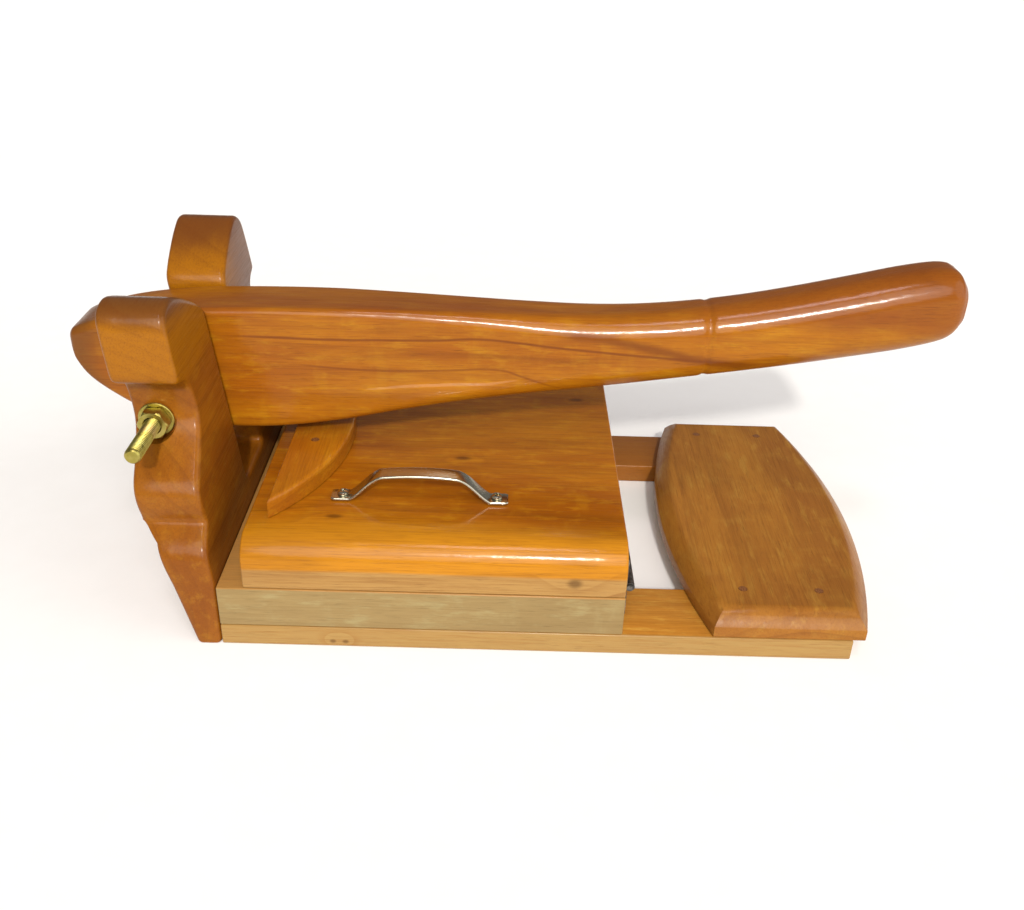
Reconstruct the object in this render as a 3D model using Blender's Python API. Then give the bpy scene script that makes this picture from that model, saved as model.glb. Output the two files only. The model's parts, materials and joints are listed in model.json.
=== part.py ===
"""Wooden lever press: a bed on two rails, a hinged lid, and a long lever in a carved yoke.

Metres, +Z up. X runs along the lever towards its handle, and Y from the front to the back. The origin
is on the ground at the middle of the whole press.
"""

import math

import bmesh
import bpy
from mathutils import Matrix, Vector

# Driving dimensions.
GAP = 0.0003
DEPTH = 0.264
BED_LEFT = -0.179
BED_LENGTH = 0.252
BED_TOP = 0.0434
RAIL_WIDTH = 0.0506
RAIL_HEIGHT = 0.0148
RAIL_LENGTH = 0.398

YOKE_THICKNESS = 0.040
YOKE_LEAN = 0.127
YOKE_ROUNDING = 0.0025
SLOT_WIDTH = 0.0512
SLOT_FLOOR = 0.058
PIVOT_X = BED_LEFT - 0.0375
PIVOT_Z = 0.134

LEVER_SECTION_CORNER_STEPS = 3

LID_LEFT = BED_LEFT + 0.0165
LID_BOTTOM = BED_TOP + GAP
LID_TOP = 0.0772
LID_ROUNDING = 0.017

STRIKER_LEFT = BED_LEFT + 0.030
STRIKER_HALF_CHORD = 0.105
STRIKER_RISE = 0.039
STRIKER_TOP = 0.0905
STRIKER_PEG_Y = 0.026
STRIKER_PEG_X = STRIKER_LEFT + 0.0165
STRIKER_PEG_BOTTOM = 0.056
LID_EASE = 0.0015

BOARD_MIDDLE = BED_LEFT + 0.357
BOARD_HALF_WIDTH = 0.048
BOARD_BULGE = 0.020
BOARD_TOP = 0.033
BOARD_PEG_Y = 0.1040
BOARD_PEG_OFFSETS = (-0.0265, 0.0225)
BOARD_CHAMFER = 0.0100
BOARD_CHAMFER_DROP = 0.0095

HANDLE_X = BED_LEFT + 0.1215
HANDLE_Y = -0.077
HANDLE_SCREW_SPACING = 0.0985
HANDLE_LENGTH = 0.113
HANDLE_RISE = 0.0200
STRAP_WIDTH = 0.012
STRAP_THICKNESS = 0.0022
STRAP_FOOT_END = HANDLE_SCREW_SPACING / 2 - 0.0042
STRAP_RAMP = 0.022
STRAP_DROOP = 0.28
STRAP_SHOULDER = 1.3
HANDLE_SCREW_LENGTH = 0.018
HANDLE_SCREW_RADIUS = 0.0019
HANDLE_SCREW_HEAD = [(0.0036, 0.0003), (0.0036, 0.0015), (0.0028, 0.0023), (0.0014, 0.0027)]

HINGE_LENGTH = 0.050
HINGE_Y = 0.095
BARREL_RADIUS = 0.0031
HINGE_PIN_RADIUS = 0.0013
LEAF_THICKNESS = 0.0015
LEAF_HEIGHT = 0.021
HINGE_SLACK = 0.0002
HINGE_SCREW_Y = 0.016
HINGE_SCREW_Z = 0.0125
HINGE_SCREW_LENGTH = 0.0178
HINGE_SCREW_HEAD_RADIUS = 0.0031
HINGE_SCREW_RADIUS = 0.0016
PIN_HEAD_THICKNESS = 0.0010
PIN_CLEARANCE = 0.0003

BOLT_RADIUS = 0.00495
BOLT_HOLE_RADIUS = 0.0054
BOLT_NEAR_END = -0.1318
NUT_ACROSS_FLATS = 0.017
NUT_HEIGHT = 0.008
BOLT_HEAD_HEIGHT = 0.0064
WASHER_RADIUS = 0.011
WASHER_THICKNESS = 0.002
SPOTFACE_RADIUS = 0.0125
SPOTFACE_Y = 0.083

PEG_RADIUS = 0.0027
SCREW_HEAD_RADIUS = 0.0042
SCREW_RADIUS = 0.0021
SCREW_HEAD_LAND = 0.0004
HOLE_OVERRUN = 0.002
RAIL_SCREW_INSET = 0.045
RAIL_SCREW_TOP = 0.034
RAIL_SCREW_RECESS = 0.0006
PEG_BOTTOM = 0.004
YOKE_SCREW_YS = (-0.100, -0.060, 0.060, 0.100)
YOKE_SCREW_Z = 0.030
YOKE_SCREW_REACH = 0.030
YOKE_SCREW_RECESS = 0.0015

# Sizes worked out from those above.
HALF_DEPTH = DEPTH / 2
BED_RIGHT = BED_LEFT + BED_LENGTH
BED_BOTTOM = RAIL_HEIGHT + GAP
YOKE_FRONT = BED_LEFT - GAP
SLOT_HALF = SLOT_WIDTH / 2
RAIL_Y = HALF_DEPTH - RAIL_WIDTH / 2
HINGE_X = BED_RIGHT + GAP + BARREL_RADIUS
HINGE_Z = BED_TOP + GAP / 2

# The yoke's outline on one side of the middle: distance from the middle, and height.
YOKE_FOOT = [(0.1320, 0.000), (0.1320, 0.062), (0.1300, 0.067), (0.1250, 0.072), (0.1130, 0.080)]
YOKE_BELLY = [(0.1158, 0.086), (0.1170, 0.092), (0.1162, 0.099), (0.1115, 0.106), (0.1030, 0.113)]
YOKE_WAIST = [(0.0930, 0.122), (0.0850, 0.131), (0.0822, 0.139), (0.0820, 0.150), (0.0835, 0.157)]
YOKE_HORN = [(0.0890, 0.161), (0.1010, 0.165), (0.0995, 0.185), (0.0980, 0.201), (0.0945, 0.2055)]
YOKE_CREST = [(0.0890, 0.2082), (0.0830, 0.2098), (0.0760, 0.2096), (0.0580, 0.2030), (0.0400, 0.1937)]
YOKE_CREST += [(0.0310, 0.1882)]
# Where the yoke's back stands behind its front at each height, from the ground up.
YOKE_BACK = [(0.000, 0.0155), (BED_TOP, 0.0262), (0.070, 0.0310), (0.080, YOKE_THICKNESS)]

# Lever sections: distance from the bed's left end, underside, top, half width, corner radius.
LEVER_SECTIONS = [
    (-0.1100, 0.1480, 0.1615, 0.0190, 0.0040),
    (-0.1075, 0.1400, 0.1640, 0.0215, 0.0055),
    (-0.1000, 0.1290, 0.1675, 0.0230, 0.0060),
    (-0.0860, 0.1175, 0.1720, 0.0230, 0.0055),
    (-0.0680, 0.1070, 0.1760, 0.0230, 0.0050),
    (-0.0420, 0.0985, 0.1795, 0.0230, 0.0045),
    (-0.0120, 0.0955, 0.1815, 0.0230, 0.0045),
    (0.0250, 0.0970, 0.1825, 0.0230, 0.0045),
    (0.0650, 0.1025, 0.1828, 0.0230, 0.0055),
    (0.1050, 0.1105, 0.1822, 0.0230, 0.0075),
    (0.1450, 0.1175, 0.1812, 0.0230, 0.0100),
    (0.1850, 0.1230, 0.1802, 0.0230, 0.0125),
    (0.2250, 0.1275, 0.1800, 0.0230, 0.0150),
    (0.2600, 0.1320, 0.1817, 0.0228, 0.0165),
    (0.2950, 0.1370, 0.1855, 0.0228, 0.0175),
    (0.3300, 0.1422, 0.1912, 0.0230, 0.0185),
    (0.3650, 0.1480, 0.1985, 0.0232, 0.0190),
    (0.4000, 0.1545, 0.2068, 0.0235, 0.0195),
    (0.4300, 0.1605, 0.2140, 0.0236, 0.0195),
    (0.4520, 0.1665, 0.2175, 0.0232, 0.0185),
    (0.4620, 0.1715, 0.2155, 0.0215, 0.0160),
    (0.4680, 0.1790, 0.2080, 0.0170, 0.0110),
]


def clear_scene():
    for obj in list(bpy.data.objects):
        bpy.data.objects.remove(obj, do_unlink=True)


def make_material(name, colour, roughness, metallic=0.0):
    material = bpy.data.materials.new(name)
    material.use_nodes = True
    shader = material.node_tree.nodes["Principled BSDF"]
    shader.inputs["Base Color"].default_value = (*colour, 1.0)
    shader.inputs["Roughness"].default_value = roughness
    shader.inputs["Metallic"].default_value = metallic
    material.diffuse_color = (*colour, 1.0)
    return material


def add_object(name, shape, material, origin=(0.0, 0.0, 0.0), parent=None):
    """An object whose shape was drawn in world space, with its origin moved to the given point."""
    bmesh.ops.translate(shape, verts=shape.verts, vec=-Vector(origin))
    bmesh.ops.recalc_face_normals(shape, faces=shape.faces)
    mesh = bpy.data.meshes.new(name)
    shape.to_mesh(mesh)
    shape.free()
    mesh.materials.append(material)
    mesh.shade_smooth()
    mesh.set_sharp_from_angle(angle=math.radians(30))
    obj = bpy.data.objects.new(name, mesh)
    bpy.context.scene.collection.objects.link(obj)
    obj.location = Vector(origin)
    if parent:
        obj.parent = parent
        obj.location = Vector(origin) - parent.location
    return obj


def add_empty(name, location):
    empty = bpy.data.objects.new(name, None)
    empty.location = location
    bpy.context.scene.collection.objects.link(empty)
    return empty


def add_bevel(obj, width):
    bevel = obj.modifiers.new("Bevel", "BEVEL")
    bevel.width = width
    bevel.segments = 1
    bevel.limit_method = "ANGLE"
    bevel.angle_limit = math.radians(40)


def cut(obj, shapes):
    """Takes all the given shapes, drawn in world space, out of the object with one Boolean."""
    joined = bmesh.new()
    for shape in shapes:
        mesh = bpy.data.meshes.new("cutter_part")
        bmesh.ops.recalc_face_normals(shape, faces=shape.faces)
        shape.to_mesh(mesh)
        shape.free()
        joined.from_mesh(mesh)
        bpy.data.meshes.remove(mesh)
    mesh = bpy.data.meshes.new(f"{obj.name}_cutter")
    joined.to_mesh(mesh)
    joined.free()
    cutter = bpy.data.objects.new(f"{obj.name}_cutter", mesh)
    bpy.context.scene.collection.objects.link(cutter)
    cutter.hide_render = True
    cutter.display_type = "WIRE"
    boolean = obj.modifiers.new("Holes", "BOOLEAN")
    boolean.operation = "DIFFERENCE"
    boolean.solver = "EXACT"
    boolean.object = cutter


def box(low, high):
    shape = bmesh.new()
    size = Vector(high) - Vector(low)
    middle = (Vector(high) + Vector(low)) / 2
    bmesh.ops.create_cube(shape, size=1.0, matrix=Matrix.Translation(middle) @ Matrix.Diagonal((*size, 1.0)))
    return shape


def extruded(outline, start, end, place):
    """A closed outline of 2D points pushed from start to end. place turns (u, v, w) into a world point."""
    shape = bmesh.new()
    face = shape.faces.new([shape.verts.new(place(u, v, start)) for u, v in outline])
    pushed = bmesh.ops.extrude_face_region(shape, geom=[face])
    offset = Vector(place(0, 0, end)) - Vector(place(0, 0, start))
    verts = [item for item in pushed["geom"] if isinstance(item, bmesh.types.BMVert)]
    bmesh.ops.translate(shape, verts=verts, vec=offset)
    return shape


def turned(profile, base, direction, segments=16, turn=0.0):
    """A solid of revolution. profile lists (radius, distance along direction) from one end to the other."""
    shape = bmesh.new()
    axis = Vector(direction).normalized()
    side = axis.orthogonal().normalized()
    across = axis.cross(side)
    rings = []
    for radius, along in profile:
        ring = []
        for step in range(segments):
            angle = turn + 2 * math.pi * step / segments
            offset = side * math.cos(angle) + across * math.sin(angle)
            ring.append(shape.verts.new(Vector(base) + axis * along + offset * radius))
        rings.append(ring)
    for lower, upper in zip(rings, rings[1:]):
        for step in range(segments):
            after = (step + 1) % segments
            shape.faces.new((lower[step], lower[after], upper[after], upper[step]))
    shape.faces.new(rings[0])
    shape.faces.new(rings[-1])
    return shape


def ring(outer, inner, base, direction, thickness, segments=24, flats=0):
    """A flat ring, or a nut where flats is 6, with its hole."""
    shape = bmesh.new()
    axis = Vector(direction).normalized()
    side = Vector((1.0, 0.0, 0.0))
    across = axis.cross(side)
    corner = math.pi / flats if flats else 0.0
    loops = []
    for level in (0.0, thickness):
        for bore in (False, True):
            loop = []
            for step in range(segments):
                angle = 2 * math.pi * step / segments
                radius = inner
                if not bore:
                    radius = outer
                    if flats:
                        radius = outer / math.cos((angle + corner) % (2 * corner) - corner)
                offset = side * math.cos(angle) + across * math.sin(angle)
                loop.append(shape.verts.new(Vector(base) + axis * level + offset * radius))
            loops.append(loop)
    low_out, low_in, high_out, high_in = loops
    for step in range(segments):
        after = (step + 1) % segments
        shape.faces.new((low_out[step], low_out[after], high_out[after], high_out[step]))
        shape.faces.new((low_in[step], high_in[step], high_in[after], low_in[after]))
        shape.faces.new((high_out[step], high_out[after], high_in[after], high_in[step]))
        shape.faces.new((low_out[step], low_in[step], low_in[after], low_out[after]))
    return shape


def screw(name, tip, head, material, parent=None, head_radius=SCREW_HEAD_RADIUS, radius=SCREW_RADIUS):
    """A countersunk screw from its tip to the top of its head, and the hole that clears it."""
    length = (Vector(head) - Vector(tip)).length
    direction = Vector(head) - Vector(tip)
    cone = head_radius - radius
    cone_end = length - SCREW_HEAD_LAND
    profile = [(radius * 0.3, 0.0), (radius, radius * 2.5), (radius, cone_end - cone)]
    profile += [(head_radius, cone_end), (head_radius, length)]
    shape = turned(profile, tip, direction, 12)
    obj = add_object(name, shape, material, head, parent)
    hole = [(radius + GAP, -HOLE_OVERRUN / 2), (radius + GAP, cone_end - cone - GAP)]
    hole += [(head_radius + GAP, cone_end - GAP), (head_radius + GAP, length + HOLE_OVERRUN)]
    return obj, lambda: turned(hole, tip, direction, 12)


def peg(name, bottom, top, material, parent=None, radius=PEG_RADIUS):
    """A round wooden peg, flush with the face that it was driven through, and its hole."""
    direction = Vector(top) - Vector(bottom)
    shape = turned([(radius, 0.0), (radius, direction.length)], bottom, direction, 12)
    obj = add_object(name, shape, material, top, parent)
    hole = [(radius + GAP, -GAP), (radius + GAP, direction.length + HOLE_OVERRUN)]
    return obj, lambda: turned(hole, bottom, direction, 12)


def table_value(height, table):
    """Reads a table of (height, value) at one height, in a straight line between its rows."""
    for (low, first), (high, second) in zip(table, table[1:]):
        if height <= high:
            return first + (second - first) * (height - low) / (high - low)
    return table[-1][1]


def yoke_shape():
    half = YOKE_FOOT + YOKE_BELLY + YOKE_WAIST + YOKE_HORN + YOKE_CREST
    half += [(SLOT_HALF + 0.0015, 0.1845), (SLOT_HALF, 0.180), (SLOT_HALF, SLOT_FLOOR + 0.006)]
    half += [(SLOT_HALF - 0.002, SLOT_FLOOR + 0.002), (SLOT_HALF - 0.006, SLOT_FLOOR)]
    outline = half + [(-y, z) for y, z in reversed(half)]
    shape = extruded(outline, 0.0, 1.0, lambda u, v, w: (w, u, v))
    for height, _ in YOKE_BACK[1:]:
        whole = shape.verts[:] + shape.edges[:] + shape.faces[:]
        bmesh.ops.bisect_plane(shape, geom=whole, plane_co=(0, 0, height), plane_no=(0, 0, 1))
    for vert in shape.verts:
        lean = YOKE_LEAN * max(0.0, vert.co.z - BED_TOP)
        behind = table_value(vert.co.z, YOKE_BACK) if vert.co.x < 0.5 else 0.0
        vert.co.x = YOKE_FRONT - lean - behind
    round_yoke(shape)
    return shape


def round_yoke(shape):
    """Rounds the arrises round the yoke's front and back faces, all the way above the bed."""
    arrises = []
    for edge in shape.edges:
        first, second = edge.verts
        along_face = abs(first.co.x - second.co.x) < YOKE_THICKNESS / 2
        above_bed = min(first.co.z, second.co.z) > BED_TOP
        if along_face and above_bed and edge.calc_face_angle() > math.radians(30):
            arrises.append(edge)
    bmesh.ops.bevel(
        shape, geom=arrises, offset=YOKE_ROUNDING, segments=2, profile=0.5,
        affect="EDGES", clamp_overlap=False,
    )


def lever_section(x, bottom, top, half_width, radius):
    points = []
    steps = LEVER_SECTION_CORNER_STEPS
    centre_y = half_width - radius
    corners = [(centre_y, top - radius, 0), (-centre_y, top - radius, 90)]
    corners += [(-centre_y, bottom + radius, 180), (centre_y, bottom + radius, 270)]
    for y, z, start in corners:
        for step in range(steps + 1):
            angle = math.radians(start + 90 * step / steps)
            points.append((BED_LEFT + x, y + radius * math.cos(angle), z + radius * math.sin(angle)))
    return points


def lever_shape():
    shape = bmesh.new()
    rings = [[shape.verts.new(point) for point in lever_section(*row)] for row in LEVER_SECTIONS]
    count = len(rings[0])
    for first, second in zip(rings, rings[1:]):
        for step in range(count):
            after = (step + 1) % count
            shape.faces.new((first[step], first[after], second[after], second[step]))
    shape.faces.new(rings[0])
    shape.faces.new(rings[-1])
    return shape


def arc_points(centre, radius, start, end, steps):
    points = []
    for step in range(steps + 1):
        angle = math.radians(start + (end - start) * step / steps)
        points.append((centre[0] + radius * math.cos(angle), centre[1] + radius * math.sin(angle)))
    return points


def lid_shape():
    """The lid's section across its depth, with both long top edges rounded, pushed along X."""
    edge = HALF_DEPTH - LID_ROUNDING
    turn = LID_TOP - LID_ROUNDING
    outline = [(-HALF_DEPTH, LID_BOTTOM), (HALF_DEPTH, LID_BOTTOM)]
    outline += arc_points((edge, turn), LID_ROUNDING, 0, 90, 6)
    outline += arc_points((-edge, turn), LID_ROUNDING, 90, 180, 6)
    return extruded(outline, LID_LEFT, BED_RIGHT, lambda u, v, w: (w, u, v))


def striker_shape():
    """A block with a straight left side and a round bow to its right."""
    radius = (STRIKER_HALF_CHORD**2 + STRIKER_RISE**2) / (2 * STRIKER_RISE)
    reach = math.degrees(math.asin(STRIKER_HALF_CHORD / radius))
    outline = arc_points((STRIKER_LEFT + STRIKER_RISE - radius, 0.0), radius, -reach, reach, 20)
    return extruded(outline, LID_TOP + GAP, STRIKER_TOP, lambda u, v, w: (u, v, w))


def board_ring(shape, inset, height, steps=12):
    """One closed ring of the rest board's outline, drawn in by inset, at one height."""
    half_depth = HALF_DEPTH - inset
    verts = []
    for side in (1, -1):
        for step in range(steps + 1):
            share = 1 - 2 * step / steps
            y = side * -share * half_depth
            out = BOARD_HALF_WIDTH + BOARD_BULGE * (1 - (y / HALF_DEPTH) ** 2) - inset
            verts.append(shape.verts.new((BOARD_MIDDLE + side * out, y, height)))
    return verts


def board_shape():
    shape = bmesh.new()
    levels = [(0.0, RAIL_HEIGHT + GAP), (0.0, BOARD_TOP - BOARD_CHAMFER_DROP)]
    levels += [(BOARD_CHAMFER * 0.55, BOARD_TOP - BOARD_CHAMFER_DROP * 0.28), (BOARD_CHAMFER, BOARD_TOP)]
    rings = [board_ring(shape, inset, height) for inset, height in levels]
    count = len(rings[0])
    for lower, upper in zip(rings, rings[1:]):
        for step in range(count):
            after = (step + 1) % count
            shape.faces.new((lower[step], lower[after], upper[after], upper[step]))
    shape.faces.new(rings[0])
    shape.faces.new(rings[-1])
    return shape


def strap_height(x):
    """Height of the bow handle's middle line above the lid at a distance x from its centre."""
    share = min(1.0, max(0.0, (STRAP_FOOT_END - abs(x)) / STRAP_RAMP))
    smooth = math.sin(math.pi / 2 * share) ** STRAP_SHOULDER
    crown = 1.0 - STRAP_DROOP * (x / STRAP_FOOT_END) ** 2
    return STRAP_THICKNESS / 2 + smooth * crown * (HANDLE_RISE - STRAP_THICKNESS)


def strap_shape():
    steps = 44
    half = HANDLE_LENGTH / 2
    upper, lower = [], []
    for step in range(steps + 1):
        x = -half + HANDLE_LENGTH * step / steps
        rise = (strap_height(x + 0.0002) - strap_height(x - 0.0002)) / 0.0004
        normal = Vector((-rise, 1.0)).normalized() * STRAP_THICKNESS / 2
        middle = Vector((x, strap_height(x)))
        upper.append(tuple(middle + normal))
        lower.append(tuple(middle - normal))
    outline = lower + upper[::-1]
    base = LID_TOP + GAP
    start = HANDLE_Y - STRAP_WIDTH / 2
    return extruded(outline, start, start + STRAP_WIDTH, lambda u, v, w: (HANDLE_X + u, w, base + v))


def hinge_leaf(name, y, up, knuckles, material, parent=None):
    """One hinge leaf: a plate on the end face and the knuckles that it carries round the pin."""
    side = 1 if up else -1
    plate_x = BED_RIGHT + GAP
    half = HINGE_LENGTH / 2
    near = HINGE_Z + side * (BARREL_RADIUS + 0.0005)
    far = HINGE_Z + side * LEAF_HEIGHT
    low, high = sorted((near, far))
    shape = box((plate_x, y - half, low), (plate_x + LEAF_THICKNESS, y + half, high))
    obj = add_object(name, shape, material, (HINGE_X, y, HINGE_Z), parent)
    for count, (start, end) in enumerate(knuckles):
        tab_low, tab_high = sorted((HINGE_Z, near + side * 0.001))
        tab = box((plate_x, y + start, tab_low), (plate_x + LEAF_THICKNESS, y + end, tab_high))
        barrel = turned(
            [(BARREL_RADIUS, 0.0), (BARREL_RADIUS, end - start)],
            (HINGE_X, y + start, HINGE_Z), (0, 1, 0), 16, math.pi / 16,
        )
        for part, piece in (("tab", tab), ("barrel", barrel)):
            helper = add_object(f"{name}_{part}_{count}", piece, material)
            helper.hide_render = True
            helper.display_type = "WIRE"
            union = obj.modifiers.new("Knuckle", "BOOLEAN")
            union.operation = "UNION"
            union.solver = "EXACT"
            union.object = helper
    return obj


def hinge(index, y, steel, lid_axis):
    """A butt hinge on the right-hand end faces, with three knuckles, its pin and four screws."""
    half = HINGE_LENGTH / 2
    third = HINGE_LENGTH / 6
    middle = [(-third + HINGE_SLACK, third - HINGE_SLACK)]
    bed_leaf = hinge_leaf(f"hinge_{index}_bed_leaf", y, False, middle, steel)
    ends = [(-half, -third - HINGE_SLACK), (third + HINGE_SLACK, half)]
    lid_leaf = hinge_leaf(f"hinge_{index}_lid_leaf", y, True, ends, steel, lid_axis)
    head = HINGE_PIN_RADIUS * 1.7
    far = HINGE_LENGTH + PIN_CLEARANCE
    profile = [(head, -PIN_CLEARANCE - PIN_HEAD_THICKNESS), (head, -PIN_CLEARANCE)]
    profile += [(HINGE_PIN_RADIUS, -PIN_CLEARANCE), (HINGE_PIN_RADIUS, far), (head, far)]
    profile += [(head, far + PIN_HEAD_THICKNESS)]
    pin_base = (HINGE_X, y - half, HINGE_Z)
    add_object(f"hinge_{index}_pin", turned(profile, pin_base, (0, 1, 0), 12), steel, (HINGE_X, y, HINGE_Z))
    bore_radius = HINGE_PIN_RADIUS + HINGE_SLACK
    face = BED_RIGHT + GAP + LEAF_THICKNESS
    holes = {"bed": [], "lid": []}
    for leaf, side, parent in (("bed", -1, None), ("lid", 1, lid_axis)):
        z = HINGE_Z + side * HINGE_SCREW_Z
        for number, offset in enumerate((-HINGE_SCREW_Y, HINGE_SCREW_Y), 1):
            tip = (face - HINGE_SCREW_LENGTH, y + offset, z)
            _, hole = screw(
                f"hinge_{index}_{leaf}_screw_{number}", tip, (face, y + offset, z), steel, parent,
                HINGE_SCREW_HEAD_RADIUS, HINGE_SCREW_RADIUS,
            )
            holes[leaf].append(hole)
    for leaf, obj in (("bed", bed_leaf), ("lid", lid_leaf)):
        bore_ends = [(bore_radius, -HOLE_OVERRUN / 2), (bore_radius, HINGE_LENGTH + HOLE_OVERRUN / 2)]
        bore = turned(bore_ends, pin_base, (0, 1, 0), 12)
        cut(obj, [bore] + [hole() for hole in holes[leaf]])
    return holes


def add_frame_pieces(wood, dark, steel):
    """The bed, the rails, the rest board and the yoke, with what holds them together."""
    bed = add_object(
        "press_bed",
        box((BED_LEFT, -HALF_DEPTH, BED_BOTTOM), (BED_RIGHT, HALF_DEPTH, BED_TOP)),
        wood["bed"],
        (BED_LEFT, 0, BED_BOTTOM),
    )
    bed_holes = []
    board = add_object("rest_board", board_shape(), wood["board"], (BOARD_MIDDLE, 0, BOARD_TOP))
    board_holes = []
    for side, name in ((-1, "front"), (1, "rear")):
        y = side * RAIL_Y
        low = (BED_LEFT, y - RAIL_WIDTH / 2, 0.0)
        high = (BED_LEFT + RAIL_LENGTH, y + RAIL_WIDTH / 2, RAIL_HEIGHT)
        rail = add_object(f"{name}_rail", box(low, high), wood["rail"], (BED_LEFT, y, 0.0))
        holes = []
        for number, x in enumerate((BED_LEFT + RAIL_SCREW_INSET, BED_RIGHT - RAIL_SCREW_INSET), 1):
            tip = (x, y, RAIL_SCREW_TOP)
            _, hole = screw(f"{name}_rail_screw_{number}", tip, (x, y, RAIL_SCREW_RECESS), steel)
            holes.append(hole)
            bed_holes.append(hole)
        for number, offset in enumerate(BOARD_PEG_OFFSETS, 1):
            x = BOARD_MIDDLE + offset
            peg_y = side * BOARD_PEG_Y
            bottom = (x, peg_y, PEG_BOTTOM)
            _, hole = peg(f"{name}_board_peg_{number}", bottom, (x, peg_y, BOARD_TOP), dark)
            holes.append(hole)
            board_holes.append(hole)
        cut(rail, [hole() for hole in holes])
    cut(board, [hole() for hole in board_holes])
    yoke = add_object("yoke", yoke_shape(), wood["yoke"], (YOKE_FRONT, 0, 0))
    yoke_holes = []
    back = YOKE_FRONT - table_value(YOKE_SCREW_Z, YOKE_BACK)
    for number, y in enumerate(YOKE_SCREW_YS, 1):
        tip = (BED_LEFT + YOKE_SCREW_REACH, y, YOKE_SCREW_Z)
        head = (back + YOKE_SCREW_RECESS, y, YOKE_SCREW_Z)
        _, hole = screw(f"yoke_screw_{number}", tip, head, steel)
        yoke_holes.append(hole)
        bed_holes.append(hole)
    return bed, bed_holes, yoke, yoke_holes


def add_pivot(zinc, yoke, yoke_holes, lever):
    """The bolt through the yoke and the lever, with its washers and its nut."""
    axis = (0, 1, 0)
    pivot = (PIVOT_X, 0, PIVOT_Z)
    seat = SPOTFACE_Y
    shank_end = seat + 2 * GAP + WASHER_THICKNESS
    shank = shank_end - BOLT_NEAR_END
    tip = BOLT_RADIUS * 0.82
    profile = [(tip, 0.0), (BOLT_RADIUS, 0.0010), (BOLT_RADIUS, shank + 0.001)]
    start = (PIVOT_X, BOLT_NEAR_END, PIVOT_Z)
    bolt = add_object("pivot_bolt", turned(profile, start, axis, 20), zinc, pivot)
    radius = NUT_ACROSS_FLATS / 2 / math.cos(math.pi / 6)
    head = turned(
        [(radius, 0.0), (radius, BOLT_HEAD_HEIGHT)], (PIVOT_X, shank_end, PIVOT_Z), axis, 6, math.pi / 6
    )
    helper = add_object("pivot_bolt_head", head, zinc)
    helper.hide_render = True
    helper.display_type = "WIRE"
    union = bolt.modifiers.new("Head", "BOOLEAN")
    union.operation = "UNION"
    union.solver = "EXACT"
    union.object = helper
    bore = BOLT_RADIUS + GAP
    near = -seat - GAP - WASHER_THICKNESS
    washer = ring(WASHER_RADIUS, bore, (PIVOT_X, near, PIVOT_Z), axis, WASHER_THICKNESS)
    add_object("near_washer", washer, zinc, pivot)
    washer = ring(WASHER_RADIUS, bore, (PIVOT_X, seat + GAP, PIVOT_Z), axis, WASHER_THICKNESS)
    add_object("far_washer", washer, zinc, pivot)
    nut_y = near - GAP - NUT_HEIGHT
    nut = ring(NUT_ACROSS_FLATS / 2, bore, (PIVOT_X, nut_y, PIVOT_Z), axis, NUT_HEIGHT, 24, 6)
    add_object("pivot_nut", nut, zinc, pivot)
    hole = [(SPOTFACE_RADIUS, -HALF_DEPTH), (SPOTFACE_RADIUS, -seat), (BOLT_HOLE_RADIUS, -seat)]
    hole += [(BOLT_HOLE_RADIUS, seat), (SPOTFACE_RADIUS, seat), (SPOTFACE_RADIUS, HALF_DEPTH)]
    cut(yoke, [turned(hole, pivot, axis, 24)] + [hole() for hole in yoke_holes])
    through = [(BOLT_HOLE_RADIUS, -HALF_DEPTH), (BOLT_HOLE_RADIUS, HALF_DEPTH)]
    cut(lever, [turned(through, pivot, axis, 20)])


def add_lid(wood, dark, steel, bright, lid_axis):
    """The lid with its striker block and its bow handle. Returns the lid."""
    lid = add_object("lid", lid_shape(), wood["lid"], (HINGE_X, 0, HINGE_Z), lid_axis)
    add_bevel(lid, LID_EASE)
    lid_holes = []
    middle = (STRIKER_LEFT + 0.016, 0, LID_TOP + GAP)
    striker = add_object("striker_block", striker_shape(), wood["lid"], middle, lid_axis)
    striker_holes = []
    for number, y in enumerate((-STRIKER_PEG_Y, STRIKER_PEG_Y), 1):
        bottom = (STRIKER_PEG_X, y, STRIKER_PEG_BOTTOM)
        top = (STRIKER_PEG_X, y, STRIKER_TOP)
        _, hole = peg(f"striker_peg_{number}", bottom, top, dark, lid_axis)
        striker_holes.append(hole)
        lid_holes.append(hole)
    cut(striker, [hole() for hole in striker_holes])
    strap = add_object("lid_handle", strap_shape(), bright, (HANDLE_X, HANDLE_Y, LID_TOP + GAP), lid_axis)
    strap_holes = []
    foot_top = LID_TOP + GAP + STRAP_THICKNESS
    through = HANDLE_SCREW_LENGTH + STRAP_THICKNESS
    radius = HANDLE_SCREW_RADIUS
    profile = [(radius * 0.3, 0.0), (radius, radius * 2), (radius, through + GAP)]
    profile += [(width, through + height) for width, height in HANDLE_SCREW_HEAD]
    hole = [(radius + GAP, -HOLE_OVERRUN / 2), (radius + GAP, through + 2 * HOLE_OVERRUN)]
    for side, name in ((-1, "left"), (1, "right")):
        base = (HANDLE_X + side * HANDLE_SCREW_SPACING / 2, HANDLE_Y, foot_top - through)
        shape = turned(profile, base, (0, 0, 1), 16)
        add_object(f"{name}_handle_screw", shape, bright, base, lid_axis)
        strap_holes.append(turned(hole, base, (0, 0, 1), 12))
        lid_holes.append(lambda base=base: turned(hole, base, (0, 0, 1), 12))
    cut(strap, strap_holes)
    return lid, lid_holes


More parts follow.
